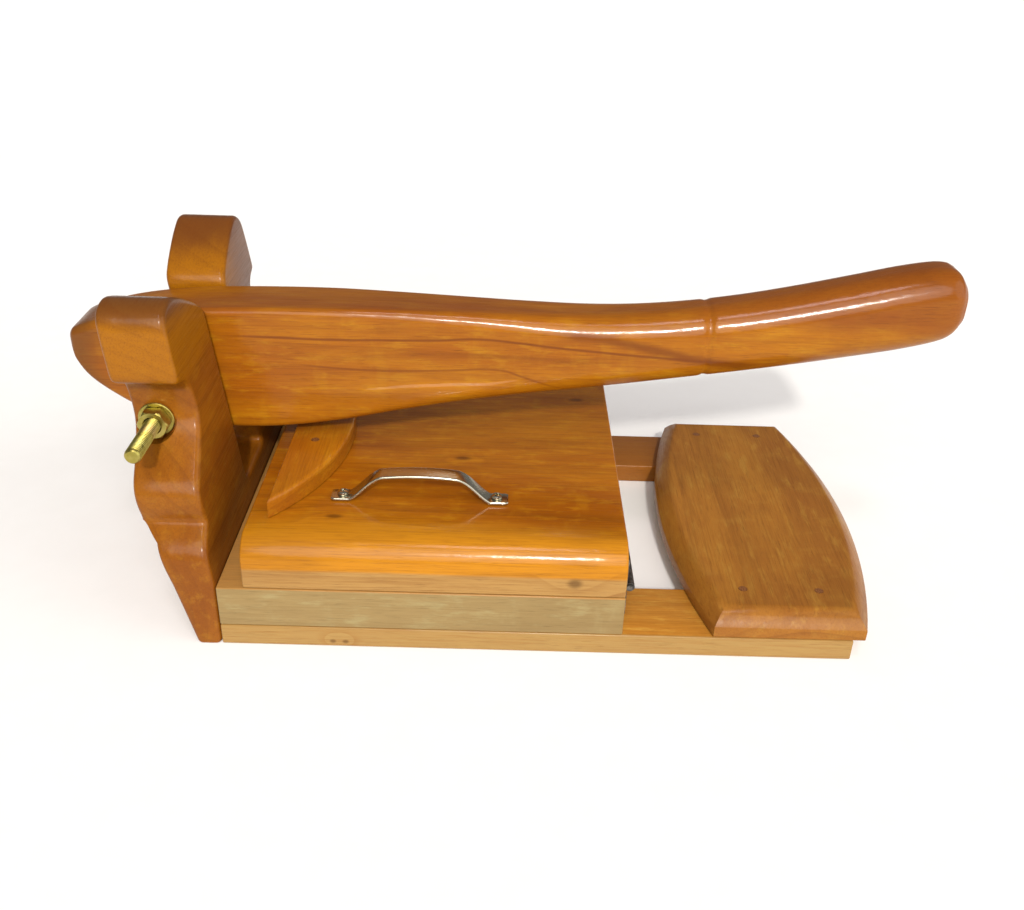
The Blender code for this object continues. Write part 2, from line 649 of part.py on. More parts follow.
def main():
    clear_scene()
    wood = {
        "bed": make_material("bed_wood", (0.50, 0.34, 0.20), 0.40),
        "rail": make_material("rail_wood", (0.52, 0.25, 0.07), 0.38),
        "board": make_material("board_wood", (0.34, 0.14, 0.045), 0.42),
        "yoke": make_material("yoke_wood", (0.46, 0.17, 0.035), 0.30),
        "lever": make_material("lever_wood", (0.50, 0.20, 0.03), 0.25),
        "lid": make_material("lid_wood", (0.50, 0.21, 0.035), 0.25),
    }
    dark = make_material("peg_wood", (0.10, 0.045, 0.02), 0.5)
    steel = make_material("dark_steel", (0.20, 0.19, 0.17), 0.4, 1.0)
    bright = make_material("stainless_steel", (0.62, 0.60, 0.56), 0.25, 1.0)
    zinc = make_material("yellow_zinc", (0.62, 0.50, 0.18), 0.3, 1.0)

    lever_axis = add_empty("lever_axis", (PIVOT_X, 0, PIVOT_Z))
    lid_axis = add_empty("lid_axis", (HINGE_X, 0, HINGE_Z))

    bed, bed_holes, yoke, yoke_holes = add_frame_pieces(wood, dark, steel)
    lever = add_object("lever", lever_shape(), wood["lever"], (PIVOT_X, 0, PIVOT_Z), lever_axis)
    add_pivot(zinc, yoke, yoke_holes, lever)
    lid, lid_holes = add_lid(wood, dark, steel, bright, lid_axis)
    for index, y in ((1, -HINGE_Y), (2, HINGE_Y)):
        holes = hinge(index, y, steel, lid_axis)
        bed_holes += holes["bed"]
        lid_holes += holes["lid"]
    cut(bed, [hole() for hole in bed_holes])
    cut(lid, [hole() for hole in lid_holes])


main()
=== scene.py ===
"""Looks for the wooden lever press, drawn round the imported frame. Metres, in the frame's own axes.

X runs along the lever towards its handle, Y from the front to the back, and Z up.
"""

import json
import math

import bmesh
import bpy
from mathutils import Matrix, Vector


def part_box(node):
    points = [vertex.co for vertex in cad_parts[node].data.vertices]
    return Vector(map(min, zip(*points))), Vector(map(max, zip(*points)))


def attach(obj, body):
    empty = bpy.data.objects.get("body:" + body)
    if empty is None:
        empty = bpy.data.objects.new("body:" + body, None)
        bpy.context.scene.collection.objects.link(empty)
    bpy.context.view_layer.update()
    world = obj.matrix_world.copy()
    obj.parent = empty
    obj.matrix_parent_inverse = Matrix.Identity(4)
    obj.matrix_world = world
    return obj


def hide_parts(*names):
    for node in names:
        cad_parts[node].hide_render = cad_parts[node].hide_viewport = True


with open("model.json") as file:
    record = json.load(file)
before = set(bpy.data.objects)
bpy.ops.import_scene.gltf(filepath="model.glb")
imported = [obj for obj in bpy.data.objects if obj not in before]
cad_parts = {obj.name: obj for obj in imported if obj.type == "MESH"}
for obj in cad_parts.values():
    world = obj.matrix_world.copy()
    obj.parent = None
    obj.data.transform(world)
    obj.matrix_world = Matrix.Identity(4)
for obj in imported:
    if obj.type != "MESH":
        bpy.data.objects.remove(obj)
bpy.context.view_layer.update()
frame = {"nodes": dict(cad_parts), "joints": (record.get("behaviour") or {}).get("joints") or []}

# What the frame says, and the same shapes that the CAD model has.
BED_LOW, BED_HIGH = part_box("press_bed")
LID_LOW, LID_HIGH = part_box("lid")
STRIKER_LOW, STRIKER_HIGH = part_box("striker_block")
BOARD_LOW, BOARD_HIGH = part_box("rest_board")
STRAP_LOW, STRAP_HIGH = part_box("lid_handle")
LEFT = BED_LOW.x
BED_TOP = BED_HIGH.z
HALF_DEPTH = BED_HIGH.y
PIVOT = Vector(next(j["pos_m"] for j in frame["joints"] if j["name"] == "lever_pivot"))

YOKE_FRONT = LEFT - 0.0003
YOKE_THICKNESS = 0.040
YOKE_LEAN = 0.127
YOKE_ARRIS = 0.0034
YOKE_BACK = [(0.000, 0.0155), (BED_TOP, 0.0262), (0.070, 0.0310), (0.080, YOKE_THICKNESS)]
# One side of the yoke's outline in smooth stretches: distance from the middle, and height.
YOKE_STRETCHES = [
    [(0.1319, 0.0003), (0.1319, 0.030), (0.1318, 0.052), (0.1308, 0.061), (0.1278, 0.068),
     (0.1218, 0.0742), (0.1145, 0.0796)],
    [(0.1145, 0.0804), (0.1160, 0.086), (0.1168, 0.092), (0.1158, 0.099), (0.1115, 0.106),
     (0.1030, 0.113), (0.0930, 0.122), (0.0850, 0.131), (0.0822, 0.139), (0.0820, 0.150),
     (0.0835, 0.157), (0.0890, 0.1612), (0.1002, 0.1648)],
    [(0.1008, 0.1662), (0.0994, 0.185), (0.0972, 0.200), (0.0938, 0.2058), (0.0885, 0.2084),
     (0.0825, 0.2096), (0.0755, 0.2093), (0.0580, 0.2028), (0.0400, 0.1935), (0.0310, 0.1879),
     (0.0272, 0.1845), (0.0257, 0.1800)],
    [(0.0257, 0.1790), (0.0257, 0.120), (0.0257, 0.0655), (0.0240, 0.0605), (0.0196, 0.0581),
     (0.0, 0.0581)],
]

# Lever stations: distance from the bed's left end, underside, top, half width, corner radius.
LEVER_STATIONS = [
    (-0.1098, 0.1482, 0.1613, 0.0188, 0.0040),
    (-0.1075, 0.1402, 0.1638, 0.0213, 0.0055),
    (-0.1000, 0.1292, 0.1673, 0.0228, 0.0060),
    (-0.0860, 0.1177, 0.1718, 0.0228, 0.0055),
    (-0.0680, 0.1072, 0.1758, 0.0228, 0.0050),
    (-0.0420, 0.0987, 0.1793, 0.0228, 0.0045),
    (-0.0120, 0.0957, 0.1813, 0.0228, 0.0045),
    (0.0250, 0.0972, 0.1823, 0.0228, 0.0045),
    (0.0650, 0.1027, 0.1826, 0.0228, 0.0055),
    (0.1050, 0.1107, 0.1820, 0.0228, 0.0075),
    (0.1450, 0.1177, 0.1810, 0.0228, 0.0100),
    (0.1850, 0.1232, 0.1800, 0.0228, 0.0125),
    (0.2250, 0.1277, 0.1798, 0.0228, 0.0150),
    (0.2600, 0.1322, 0.1815, 0.0226, 0.0165),
    (0.2950, 0.1372, 0.1853, 0.0226, 0.0175),
    (0.3300, 0.1424, 0.1910, 0.0228, 0.0185),
    (0.3650, 0.1482, 0.1983, 0.0230, 0.0190),
    (0.4000, 0.1547, 0.2066, 0.0233, 0.0195),
    (0.4300, 0.1607, 0.2138, 0.0234, 0.0195),
    (0.4520, 0.1667, 0.2172, 0.0230, 0.0185),
    (0.4620, 0.1717, 0.2152, 0.0213, 0.0160),
    (0.4678, 0.1792, 0.2078, 0.0168, 0.0110),
]
GROOVE_X = 0.3055
GROOVE_DEPTH = 0.0007
GROOVE_WIDTH = 0.0022
# The shallow step along the lever's blade: distance from the bed's left end, and height.
STEP_LINE = [(0.070, 0.1260), (0.110, 0.1305), (0.142, 0.1328), (0.175, 0.1337), (0.205, 0.1340)]
STEP_OFFSETS = [0.0018, 0.0012, 0.0008, 0.0005, 0.00025, 0.0, -0.00025, -0.0005, -0.0008, -0.0012, -0.0018]
STEP_DEPTH = 0.0016
STEP_SHARPNESS = 0.00062
STEP_MIDDLE = 0.132
STEP_REACH = 0.058

STRAP_THICKNESS = 0.0022
STRAP_SCREW_SPACING = 0.0985
STRAP_FOOT_END = STRAP_SCREW_SPACING / 2 - 0.0042
STRAP_RAMP = 0.022
STRAP_SHOULDER = 1.3
STRAP_DROOP = 0.28
STRAP_HOLE_RADIUS = 0.0022
SCREW_HEAD_RADIUS = 0.0036
SCREW_SHANK_RADIUS = 0.0019

LID_ROUND = 0.0168
LID_FOOT = 0.0012
LID_END_EASE = 0.0014
STRIKER_TOP_EASE = 0.0026
BOARD_BULGE = 0.020
BOARD_CHAMFER = 0.0100
BOARD_CHAMFER_DROP = 0.0095
BOARD_EASE = 0.0008
# How far the lid, boards, rails and bolt head stay inside their CAD solids' boxes.
HAIR = 0.0001

THREAD_PITCH = 0.0015
THREAD_RADIUS = 0.00492
THREAD_DEPTH = 0.00092
THREAD_STEPS = 7
THREAD_RUN_IN = 0.0030
BOLT_HOLE_RADIUS = 0.0054
BOLT_HEAD_Y = 0.0856
BOLT_TIP_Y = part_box("pivot_bolt")[0].y
SPOT_FACE_RADIUS = 0.0125
SPOT_FACE_Y = 0.0830
NUT_ACROSS_FLATS = 0.0170
NUT_CORNER = NUT_ACROSS_FLATS / 2 / math.cos(math.pi / 6)
NUT_BORE = 0.00515

# How strongly a wood's dark fibres and open pores show.
FIBRE_STRENGTH = 0.35
PORE_STRENGTH = 0.35

# Extra ring just inside a flat end, which keeps that end's shading flat.
END_RIM = 0.0010
SHARP_ANGLE = math.radians(38)

CAMERA_PLACE = Vector((-0.0052, -0.6535, 0.4394))
CAMERA_YAW = 0.010
CAMERA_PITCH = 0.517
CAMERA_ROLL = 0.033
CAMERA_LENS = 37.19

FLOOR_HALF = 12.0
LIGHTS_AIM = Vector((0.0, 0.0, 0.08))


# ---------------- materials


class Shader:
    """A material's node tree, with short ways to add nodes to it and join them."""

    def __init__(self, name, roughness=0.4, metallic=0.0):
        self.material = bpy.data.materials.new(name)
        self.material.use_nodes = True
        self.tree = self.material.node_tree
        self.surface = self.tree.nodes["Principled BSDF"]
        self.look("Roughness", roughness)
        self.look("Metallic", metallic)
        self.place = self.node("TexCoord").outputs["Object"]

    def node(self, kind, values=None, **settings):
        made = self.tree.nodes.new("ShaderNode" + kind)
        for key, value in settings.items():
            setattr(made, key, value)
        for socket, value in (values or {}).items():
            self.put(made.inputs[socket], value)
        return made

    def put(self, socket, value):
        if isinstance(value, bpy.types.NodeSocket):
            self.tree.links.new(value, socket)
        else:
            socket.default_value = value

    def look(self, socket, value):
        """Sets or joins an input of the surface itself."""
        self.put(self.surface.inputs[socket], value)

    def math(self, operation, first, second=0.0, third=0.0):
        values = {0: first, 1: second, 2: third}
        return self.node("Math", values, operation=operation).outputs[0]

    def split(self, vector):
        return self.node("SeparateXYZ", {0: vector}).outputs[:]

    def join(self, x, y, z):
        return self.node("CombineXYZ", {0: x, 1: y, 2: z}).outputs[0]

    def scaled(self, vector, scale):
        return self.node("VectorMath", {0: vector, 1: scale}, operation="MULTIPLY").outputs[0]

    def noise(self, vector, detail=2.0, roughness=0.5, output=0):
        values = {"Vector": vector, "Scale": 1.0, "Detail": detail, "Roughness": roughness}
        return self.node("TexNoise", values).outputs[output]

    def smooth(self, value, start, end, low=0.0, high=1.0):
        """A smooth step that is low at start and high at end."""
        values = {"Value": value, "From Min": start, "From Max": end, "To Min": low, "To Max": high}
        return self.node("MapRange", values, interpolation_type="SMOOTHSTEP").outputs[0]

    def mix(self, factor, first, second, blend="MIX"):
        made = self.node("Mix", data_type="RGBA", blend_type=blend, clamp_factor=True)
        for index, value in ((0, factor), (6, first), (7, second)):
            if isinstance(value, tuple):
                value = (*value, 1.0)
            self.put(made.inputs[index], value)
        return made.outputs[2]

    def ramp(self, value, stops):
        made = self.node("ValToRGB", {0: value})
        elements = made.color_ramp.elements
        while len(elements) < len(stops):
            elements.new(1.0)
        for element, (position, level) in zip(elements, stops):
            element.position = position
            element.color = (level, level, level, 1.0)
        return made.outputs[0]

    def path(self, value, points):
        """A smooth curve through (input, output) points, all between 0 and 1."""
        made = self.node("FloatCurve", {"Factor": 1.0, "Value": value})
        curve = made.mapping.curves[0]
        for point in points[1:-1]:
            curve.points.new(*point)
        ordered = sorted(curve.points, key=lambda point: point.location[0])
        for point, place in zip(ordered, points):
            point.location = place
        made.mapping.update()
        return made.outputs[0]

    def bump(self, height, strength, distance, normal=None):
        values = {"Strength": strength, "Distance": distance, "Height": height}
        if normal:
            values["Normal"] = normal
        return self.node("Bump", values).outputs[0]

    def coat(self, weight, roughness):
        self.look("Specular IOR Level", 0.05)
        self.look("Coat Weight", weight)
        self.look("Coat Roughness", roughness)
        self.look("Coat IOR", 1.5)


def near(shader, along, across, up, knot):
    """Distance to a knot, which reaches further along the grain than across it."""
    knot_along, knot_across, knot_up, _ = knot
    run = shader.math("MULTIPLY", shader.math("SUBTRACT", along, knot_along), 0.45)
    side = shader.math("SUBTRACT", across, knot_across)
    rise = shader.math("MULTIPLY", shader.math("SUBTRACT", up, knot_up), 0.6)
    vector = shader.join(run, side, rise)
    return shader.node("VectorMath", {0: vector}, operation="LENGTH").outputs["Value"]


def streak_strength(shader, along, up, mottle, streak):
    """How strongly a dark line of the figure shows, fading out at its two ends."""
    points, width, strength = streak
    start, end = points[0][0], points[-1][0]
    low = min(height for _, height in points) - 0.01
    high = max(height for _, height in points) + 0.01
    share = shader.math("DIVIDE", shader.math("SUBTRACT", along, start), end - start)
    steps = [((run - start) / (end - start), (height - low) / (high - low)) for run, height in points]
    height = shader.math("MULTIPLY_ADD", shader.path(share, steps), high - low, low)
    height = shader.math("MULTIPLY_ADD", shader.math("SUBTRACT", mottle, 0.5), 0.004, height)
    gap = shader.math("ABSOLUTE", shader.math("SUBTRACT", up, height))
    shown = shader.smooth(gap, width, width * 0.1, 0.0, strength)
    inside = shader.math("MULTIPLY", shader.smooth(share, -0.02, 0.12), shader.smooth(share, 1.02, 0.85))
    return shader.math("MULTIPLY", shown, inside)


def wood(name, grain, pith, ring, dark, light, warm, contrast, warp, coat, coat_roughness, knots=(),
         streaks=(), zones=()):
    """Solid wood that is cut from a log with its pith at the given point across the grain.

    Rings, fibres and pores are all worked out in space, so end grain shows on the ends. ring is the
    distance between two rings, contrast is how dark they are, and warp is how far they waver. knots
    are (along, across, up, radius). A streak is (points, width, strength), where the points run along
    the grain and give a height. A zone is (axis, from, to, colour, strength), where the strength
    grows from the first place to the second.
    """
    s = Shader(name, 0.42)
    x, y, z = s.split(s.place)
    along, across, up = (x, y, z) if grain == "X" else (y, x, z)
    place = s.join(along, across, up)
    drift = s.split(s.noise(s.scaled(place, (3.0, 9.0, 9.0)), 2.0, 0.5, 1))
    side = s.math("SUBTRACT", across, pith[0])
    side = s.math("MULTIPLY_ADD", s.math("SUBTRACT", drift[0], 0.5), warp * 3, side)
    rise = s.math("SUBTRACT", up, pith[1])
    rise = s.math("MULTIPLY_ADD", s.math("SUBTRACT", drift[1], 0.5), warp * 3, rise)
    radius = s.math("SQRT", s.math("ADD", s.math("MULTIPLY", side, side), s.math("MULTIPLY", rise, rise)))
    knot_dark = None
    for knot in knots:
        distance = near(s, along, across, up, knot)
        pushed = s.smooth(distance, knot[3] * 5.0, 0.0, 0.0, ring * 0.9)
        radius = s.math("ADD", radius, pushed)
        core = s.smooth(distance, knot[3], knot[3] * 0.25)
        knot_dark = s.math("MAXIMUM", knot_dark, core) if knot_dark else core
    turns = s.math("DIVIDE", radius, ring)
    stops = [(0.0, 0.12), (0.45, 0.10), (0.82, 0.75), (0.93, 1.0), (1.0, 0.12)]
    late = s.ramp(s.math("FRACT", turns), stops)
    chance = s.node("TexWhiteNoise", {"W": s.math("FLOOR", turns)}, noise_dimensions="1D").outputs["Value"]
    late = s.math("MULTIPLY", late, s.math("MULTIPLY_ADD", chance, 0.8, 0.2))
    fibres = s.noise(s.scaled(place, (28.0, 900.0, 900.0)), 4.0, 0.65)
    flecks = s.noise(s.scaled(place, (70.0, 2300.0, 2300.0)), 2.0, 0.5)
    mottle = s.noise(s.scaled(place, (5.0, 22.0, 22.0)), 3.0, 0.6)
    cloud = s.noise(s.scaled(place, (9.0, 12.0, 12.0)), 2.0, 0.5)
    blotch = s.noise(s.scaled(place, (38.0, 130.0, 130.0)), 4.0, 0.62)
    flame = s.noise(s.scaled(place, (75.0, 36.0, 36.0)), 3.0, 0.6)

    gold = tuple(min(1.0, value * gain) for value, gain in zip(light, (1.12, 1.32, 1.5)))
    colour = s.mix(s.smooth(mottle, 0.35, 0.68), light, warm)
    colour = s.mix(s.smooth(blotch, 0.50, 0.72, 0.0, 0.75), colour, gold)
    colour = s.mix(s.smooth(blotch, 0.48, 0.30, 0.0, 0.45), colour, warm)
    colour = s.mix(s.smooth(flame, 0.52, 0.75, 0.0, 0.35), colour, gold)
    for axis, start, end, tint, strength in zones:
        value = {"X": x, "Y": y, "Z": z}[axis]
        wobble = s.math("MULTIPLY_ADD", s.math("SUBTRACT", mottle, 0.5), abs(end - start) * 1.2, value)
        colour = s.mix(s.smooth(wobble, start, end, 0.0, strength), colour, tint)
    colour = s.mix(s.math("MULTIPLY", late, contrast), colour, dark)
    colour = s.mix(s.smooth(fibres, 0.42, 0.72, 0.0, FIBRE_STRENGTH), colour, dark)
    colour = s.mix(s.smooth(cloud, 0.55, 0.80, 0.0, 0.30), colour, dark)
    for streak in streaks:
        colour = s.mix(streak_strength(s, along, up, mottle, streak), colour, dark)
    if knot_dark:
        colour = s.mix(s.math("MULTIPLY", knot_dark, 0.6), colour, tuple(v * 0.30 for v in dark))
    pores = s.smooth(flecks, 0.60, 0.72)
    colour = s.mix(s.math("MULTIPLY", pores, PORE_STRENGTH), colour, tuple(v * 0.45 for v in dark))
    s.look("Base Color", colour)
    s.look("Roughness", s.smooth(fibres, 0.3, 0.8, 0.34, 0.52))
    ripple = s.noise(s.scaled(place, (90.0, 160.0, 160.0)), 2.0, 0.5)
    skin = s.bump(ripple, 0.25, 0.0006)
    grain_height = s.math("SUBTRACT", fibres, s.math("MULTIPLY", pores, 0.8))
    s.look("Normal", s.bump(grain_height, 0.30, 0.00025, skin))
    s.look("Coat Normal", s.bump(grain_height, 0.06, 0.0002, skin))
    s.coat(coat, coat_roughness)
    return s.material


def brushed_steel(name, colour, roughness):
    """Steel with fine scratches along X and a few dull patches."""
    s = Shader(name, roughness, 1.0)
    scratches = s.noise(s.scaled(s.place, (25.0, 2500.0, 2500.0)), 4.0, 0.7)
    patches = s.noise(s.scaled(s.place, (120.0, 120.0, 120.0)), 3.0, 0.6)
    tone = s.math("MULTIPLY_ADD", scratches, 0.35, 0.80)
    shade = s.mix(1.0, colour, s.join(tone, tone, tone), "MULTIPLY")
    shade = s.mix(s.smooth(patches, 0.5, 0.8, 0.0, 0.25), shade, (0.20, 0.16, 0.12))
    s.look("Base Color", shade)
    s.look("Roughness", s.smooth(scratches, 0.3, 0.75, roughness * 0.75, roughness * 1.4))
    s.look("Normal", s.bump(scratches, 0.05, 0.00003))
    return s.material


def yellow_zinc(name, valley=None):
    """Yellow passivated zinc with faint pink and green clouds.

    Where valley is given, it is the distance from the bolt's middle below which the thread's valleys are
    darkened with painted shade.
    """
    s = Shader(name, 0.3, 1.0)
    clouds = s.noise(s.scaled(s.place, (160.0, 160.0, 160.0)), 3.0, 0.6)
    bands = s.noise(s.scaled(s.place, (45.0, 70.0, 45.0)), 2.0, 0.5)
    grit = s.noise(s.scaled(s.place, (1500.0, 1500.0, 1500.0)), 2.0, 0.5)
    colour = s.mix(s.smooth(clouds, 0.35, 0.65), (0.37, 0.30, 0.060), (0.46, 0.38, 0.10))
    colour = s.mix(s.smooth(bands, 0.52, 0.75, 0.0, 0.45), colour, (0.62, 0.40, 0.20))
    colour = s.mix(s.smooth(bands, 0.48, 0.25, 0.0, 0.35), colour, (0.48, 0.52, 0.20))
    if valley:
        x, y, z = s.split(s.place)
        reach = s.join(s.math("SUBTRACT", x, PIVOT.x), 0.0, s.math("SUBTRACT", z, PIVOT.z))
        radius = s.node("VectorMath", {0: reach}, operation="LENGTH").outputs["Value"]
        # Painted shade in the thread's valleys, darkest at the bottom of each groove, kept off the tip.
        painted_valley_shade = s.smooth(radius, valley, valley - THREAD_DEPTH * 0.6, 0.0, 1.0)
        behind_tip = s.smooth(y, BOLT_TIP_Y + 0.0010, BOLT_TIP_Y + 0.0016)
        colour = s.mix(s.math("MULTIPLY", painted_valley_shade, behind_tip), colour, (0.035, 0.026, 0.006))
    s.look("Base Color", colour)
    s.look("Roughness", s.smooth(clouds, 0.3, 0.7, 0.24, 0.40))
    s.look("Normal", s.bump(grit, 0.12, 0.00005))
    return s.material


def dark_steel(name):
    """Blackened steel that is worn brighter in places."""
    s = Shader(name, 0.45, 1.0)
    wear = s.noise(s.scaled(s.place, (140.0, 140.0, 140.0)), 4.0, 0.65)
    grit = s.noise(s.scaled(s.place, (1200.0, 1200.0, 1200.0)), 2.0, 0.5)
    colour = s.mix(s.smooth(wear, 0.45, 0.70), (0.10, 0.095, 0.09), (0.30, 0.28, 0.25))
    s.look("Base Color", colour)
    s.look("Roughness", s.smooth(wear, 0.3, 0.7, 0.52, 0.34))
    s.look("Normal", s.bump(grit, 0.15, 0.00006))
    return s.material


def peg_wood(name):
    """Dark end grain of a wooden peg under varnish."""
    s = Shader(name, 0.45)
    dots = s.noise(s.scaled(s.place, (1400.0, 1400.0, 60.0)), 3.0, 0.6)
    colour = s.mix(s.smooth(dots, 0.35, 0.65), (0.11, 0.036, 0.010), (0.26, 0.100, 0.028))
    s.look("Base Color", colour)
    s.look("Normal", s.bump(dots, 0.2, 0.0001))
    s.coat(0.7, 0.15)
    return s.material


# ---------------- mesh tools


def new_object(name, data):
    """An object with the given mesh, light or camera, linked into the scene."""
    made = bpy.data.objects.new(name, data)
    bpy.context.scene.collection.objects.link(made)
    return made


def make_object(name, shape, material, body, slot, *nodes):
    """Turns a bmesh into a smooth piece that rides on a body and stands for the CAD nodes."""
    bmesh.ops.recalc_face_normals(shape, faces=shape.faces)
    mesh = bpy.data.meshes.new(name)
    shape.to_mesh(mesh)
    shape.free()
    mesh.materials.append(material)
    mesh.shade_smooth()
    mesh.set_sharp_from_angle(angle=SHARP_ANGLE)
    piece = new_object(name, mesh)
    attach(piece, body)
    if nodes:
        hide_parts(*nodes)
    return piece


def bridge(shape, first, second):
    """A band of faces between two loops that have the same number of points."""
    for step in range(len(first)):
        after = (step + 1) % len(first)
        shape.faces.new((first[step], first[after], second[after], second[step]))


def skin(rings):
    """A closed solid through rings with the same number of points, with a flat face at each end."""
    shape = bmesh.new()
    loops = [[shape.verts.new(point) for point in ring] for ring in rings]
    for first, second in zip(loops, loops[1:]):
        bridge(shape, first, second)
    shape.faces.new(loops[0])
    shape.faces.new(loops[-1])
    return shape


def turned(profile, base, direction, segments=32):
    """A solid of revolution. profile lists (radius, distance along direction) from end to end."""
    axis = Vector(direction).normalized()
    side = axis.orthogonal().normalized()
    across = axis.cross(side)
    rings = []
    for radius, along in profile:
        ring = []
        for step in range(segments):
            angle = 2 * math.pi * step / segments
            offset = side * math.cos(angle) + across * math.sin(angle)
            ring.append(Vector(base) + axis * along + offset * radius)
        rings.append(ring)
    return skin(rings)


def cut(piece, shapes):
    """Takes the shapes, which don't touch each other, out of a piece and keeps the result as its mesh."""
    joined = bmesh.new()
    for shape in shapes:
        bmesh.ops.recalc_face_normals(shape, faces=shape.faces)
        mesh = bpy.data.meshes.new("cutter")
        shape.to_mesh(mesh)
        shape.free()
        joined.from_mesh(mesh)
        bpy.data.meshes.remove(mesh)
    mesh = bpy.data.meshes.new("cutter")
    joined.to_mesh(mesh)
    joined.free()
    cutter = new_object("cutter", mesh)
    boolean = piece.modifiers.new("Holes", "BOOLEAN")
    boolean.operation = "DIFFERENCE"
    boolean.solver = "EXACT"
    boolean.object = cutter
    bpy.context.view_layer.update()
    graph = bpy.context.evaluated_depsgraph_get()
    result = bpy.data.meshes.new_from_object(piece.evaluated_get(graph))
    piece.modifiers.clear()
    piece.data = result
    result.set_sharp_from_angle(angle=SHARP_ANGLE)
    bpy.data.objects.remove(cutter)


def catmull(points, steps):
    """Points on a smooth curve through the given points, which may have any number of coordinates."""
    ends = [[2 * a - b for a, b in zip(points[0], points[1])]]
    ends += [list(point) for point in points]
    ends += [[2 * a - b for a, b in zip(points[-1], points[-2])]]
    curve = []
    for index in range(1, len(ends) - 2):
        before, start, end, after = ends[index - 1:index + 3]
        for step in range(steps):
            t = step / steps
            curve.append(tuple(
                0.5 * (2 * s + (e - b) * t + (2 * b - 5 * s + 4 * e - a) * t * t
                       + (3 * s - b - 3 * e + a) * t ** 3)
                for b, s, e, a in zip(before, start, end, after)
            ))
    curve.append(tuple(points[-1]))
    return curve


def respaced(points, spacing):
    """The same open line with its points an even distance apart."""
    lengths = [0.0]
    for first, second in zip(points, points[1:]):
        lengths.append(lengths[-1] + math.dist(first, second))
    count = max(1, round(lengths[-1] / spacing))
    line, index = [], 0
    for step in range(count + 1):
        want = lengths[-1] * step / count
        while index < len(points) - 2 and lengths[index + 1] < want:
            index += 1
        span = lengths[index + 1] - lengths[index] or 1.0
        share = (want - lengths[index]) / span
        line.append(tuple(a + (b - a) * share for a, b in zip(points[index], points[index + 1])))
    return line


def inset(outline, amount):
    """A closed anticlockwise outline drawn in by an amount, with mitred corners."""
    moved = []
    for index, point in enumerate(outline):
        before, after = outline[index - 1], outline[(index + 1) % len(outline)]
        first = Vector((point[0] - before[0], point[1] - before[1])).normalized()
        second = Vector((after[0] - point[0], after[1] - point[1])).normalized()
        normals = Vector((-first.y, first.x)), Vector((-second.y, second.x))
        shift = (normals[0] + normals[1]) / max(0.35, 1 + normals[0].dot(normals[1]))
        moved.append((point[0] + shift.x * amount, point[1] + shift.y * amount))
    return moved


def eased(start, end, radius, steps=4):
    """Levels and insets for a solid with both ends' edges rounded, from start to end."""
    turn = [math.pi / 2 * step / steps for step in range(steps + 1)]
    sign = 1 if end > start else -1
    first = [(start + sign * radius * (1 - math.cos(a)), radius * (1 - math.sin(a))) for a in turn]
    last = [(end - (level - start), amount) for level, amount in reversed(first)]
    return first + last


def prism(outline, levels, place, rim=END_RIM):
    """A solid from an outline and (level, inset) pairs. place turns (u, v, level) into a point."""
    first, last = levels[0], levels[-1]
    if rim:
        levels = [(first[0], first[1] + rim)] + levels + [(last[0], last[1] + rim)]
    rings = []
    for level, amount in levels:
        rings.append([place(u, v, level) for u, v in inset(outline, amount)])
    return skin(rings)


def arc(centre, radius, start, end, steps):
    """Points along an arc, from one angle to another in degrees."""
    points = []
    for step in range(steps + 1):
        angle = math.radians(start + (end - start) * step / steps)
        points.append((centre[0] + radius * math.cos(angle), centre[1] + radius * math.sin(angle)))
    return points


def rounded_box(low, high, radius):
    """A box with its long X edges and its end edges all rounded."""
    y0, y1, z0, z1 = low.y + radius, high.y - radius, low.z + radius, high.z - radius
    outline = arc((y1, z0), radius, -90, 0, 3) + arc((y1, z1), radius, 0, 90, 3)
    outline += arc((y0, z1), radius, 90, 180, 3) + arc((y0, z0), radius, 180, 270, 3)
    levels = eased(low.x, high.x, radius * 0.9, 3)
    middle = len(levels) // 2
    span = [low.x + (high.x - low.x) * share for share in (0.2, 0.4, 0.6, 0.8)]
    levels[middle:middle] = [(x, 0.0) for x in span]
    return prism(outline, levels, lambda u, v, w: (w, u, v))


# ---------------- wooden pieces


def table_value(table, height):
    """The value that a table of (height, value) rows gives between its rows, level past its last."""
    for (low, first), (high, second) in zip(table, table[1:]):
        if height <= high:
            return first + (second - first) * (height - low) / (high - low)
    return table[-1][1]


def yoke_outline():
    """The whole outline in Y and Z, anticlockwise seen from +X, with its corners a little softened."""
    half = []
    for stretch in YOKE_STRETCHES:
        half += respaced(catmull(stretch, 6), 0.0022)
    half = half[:-1]
    outline = half + [(0.0, half[-1][1])] + [(-y, z) for y, z in reversed(half)]
    for _ in range(3):
        outline = [
            point if point[1] < 0.004 else tuple(
                before * 0.25 + here * 0.5 + after * 0.25
                for before, here, after in zip(outline[i - 1], point, outline[(i + 1) % len(outline)])
            )
            for i, point in enumerate(outline)
        ]
    return outline


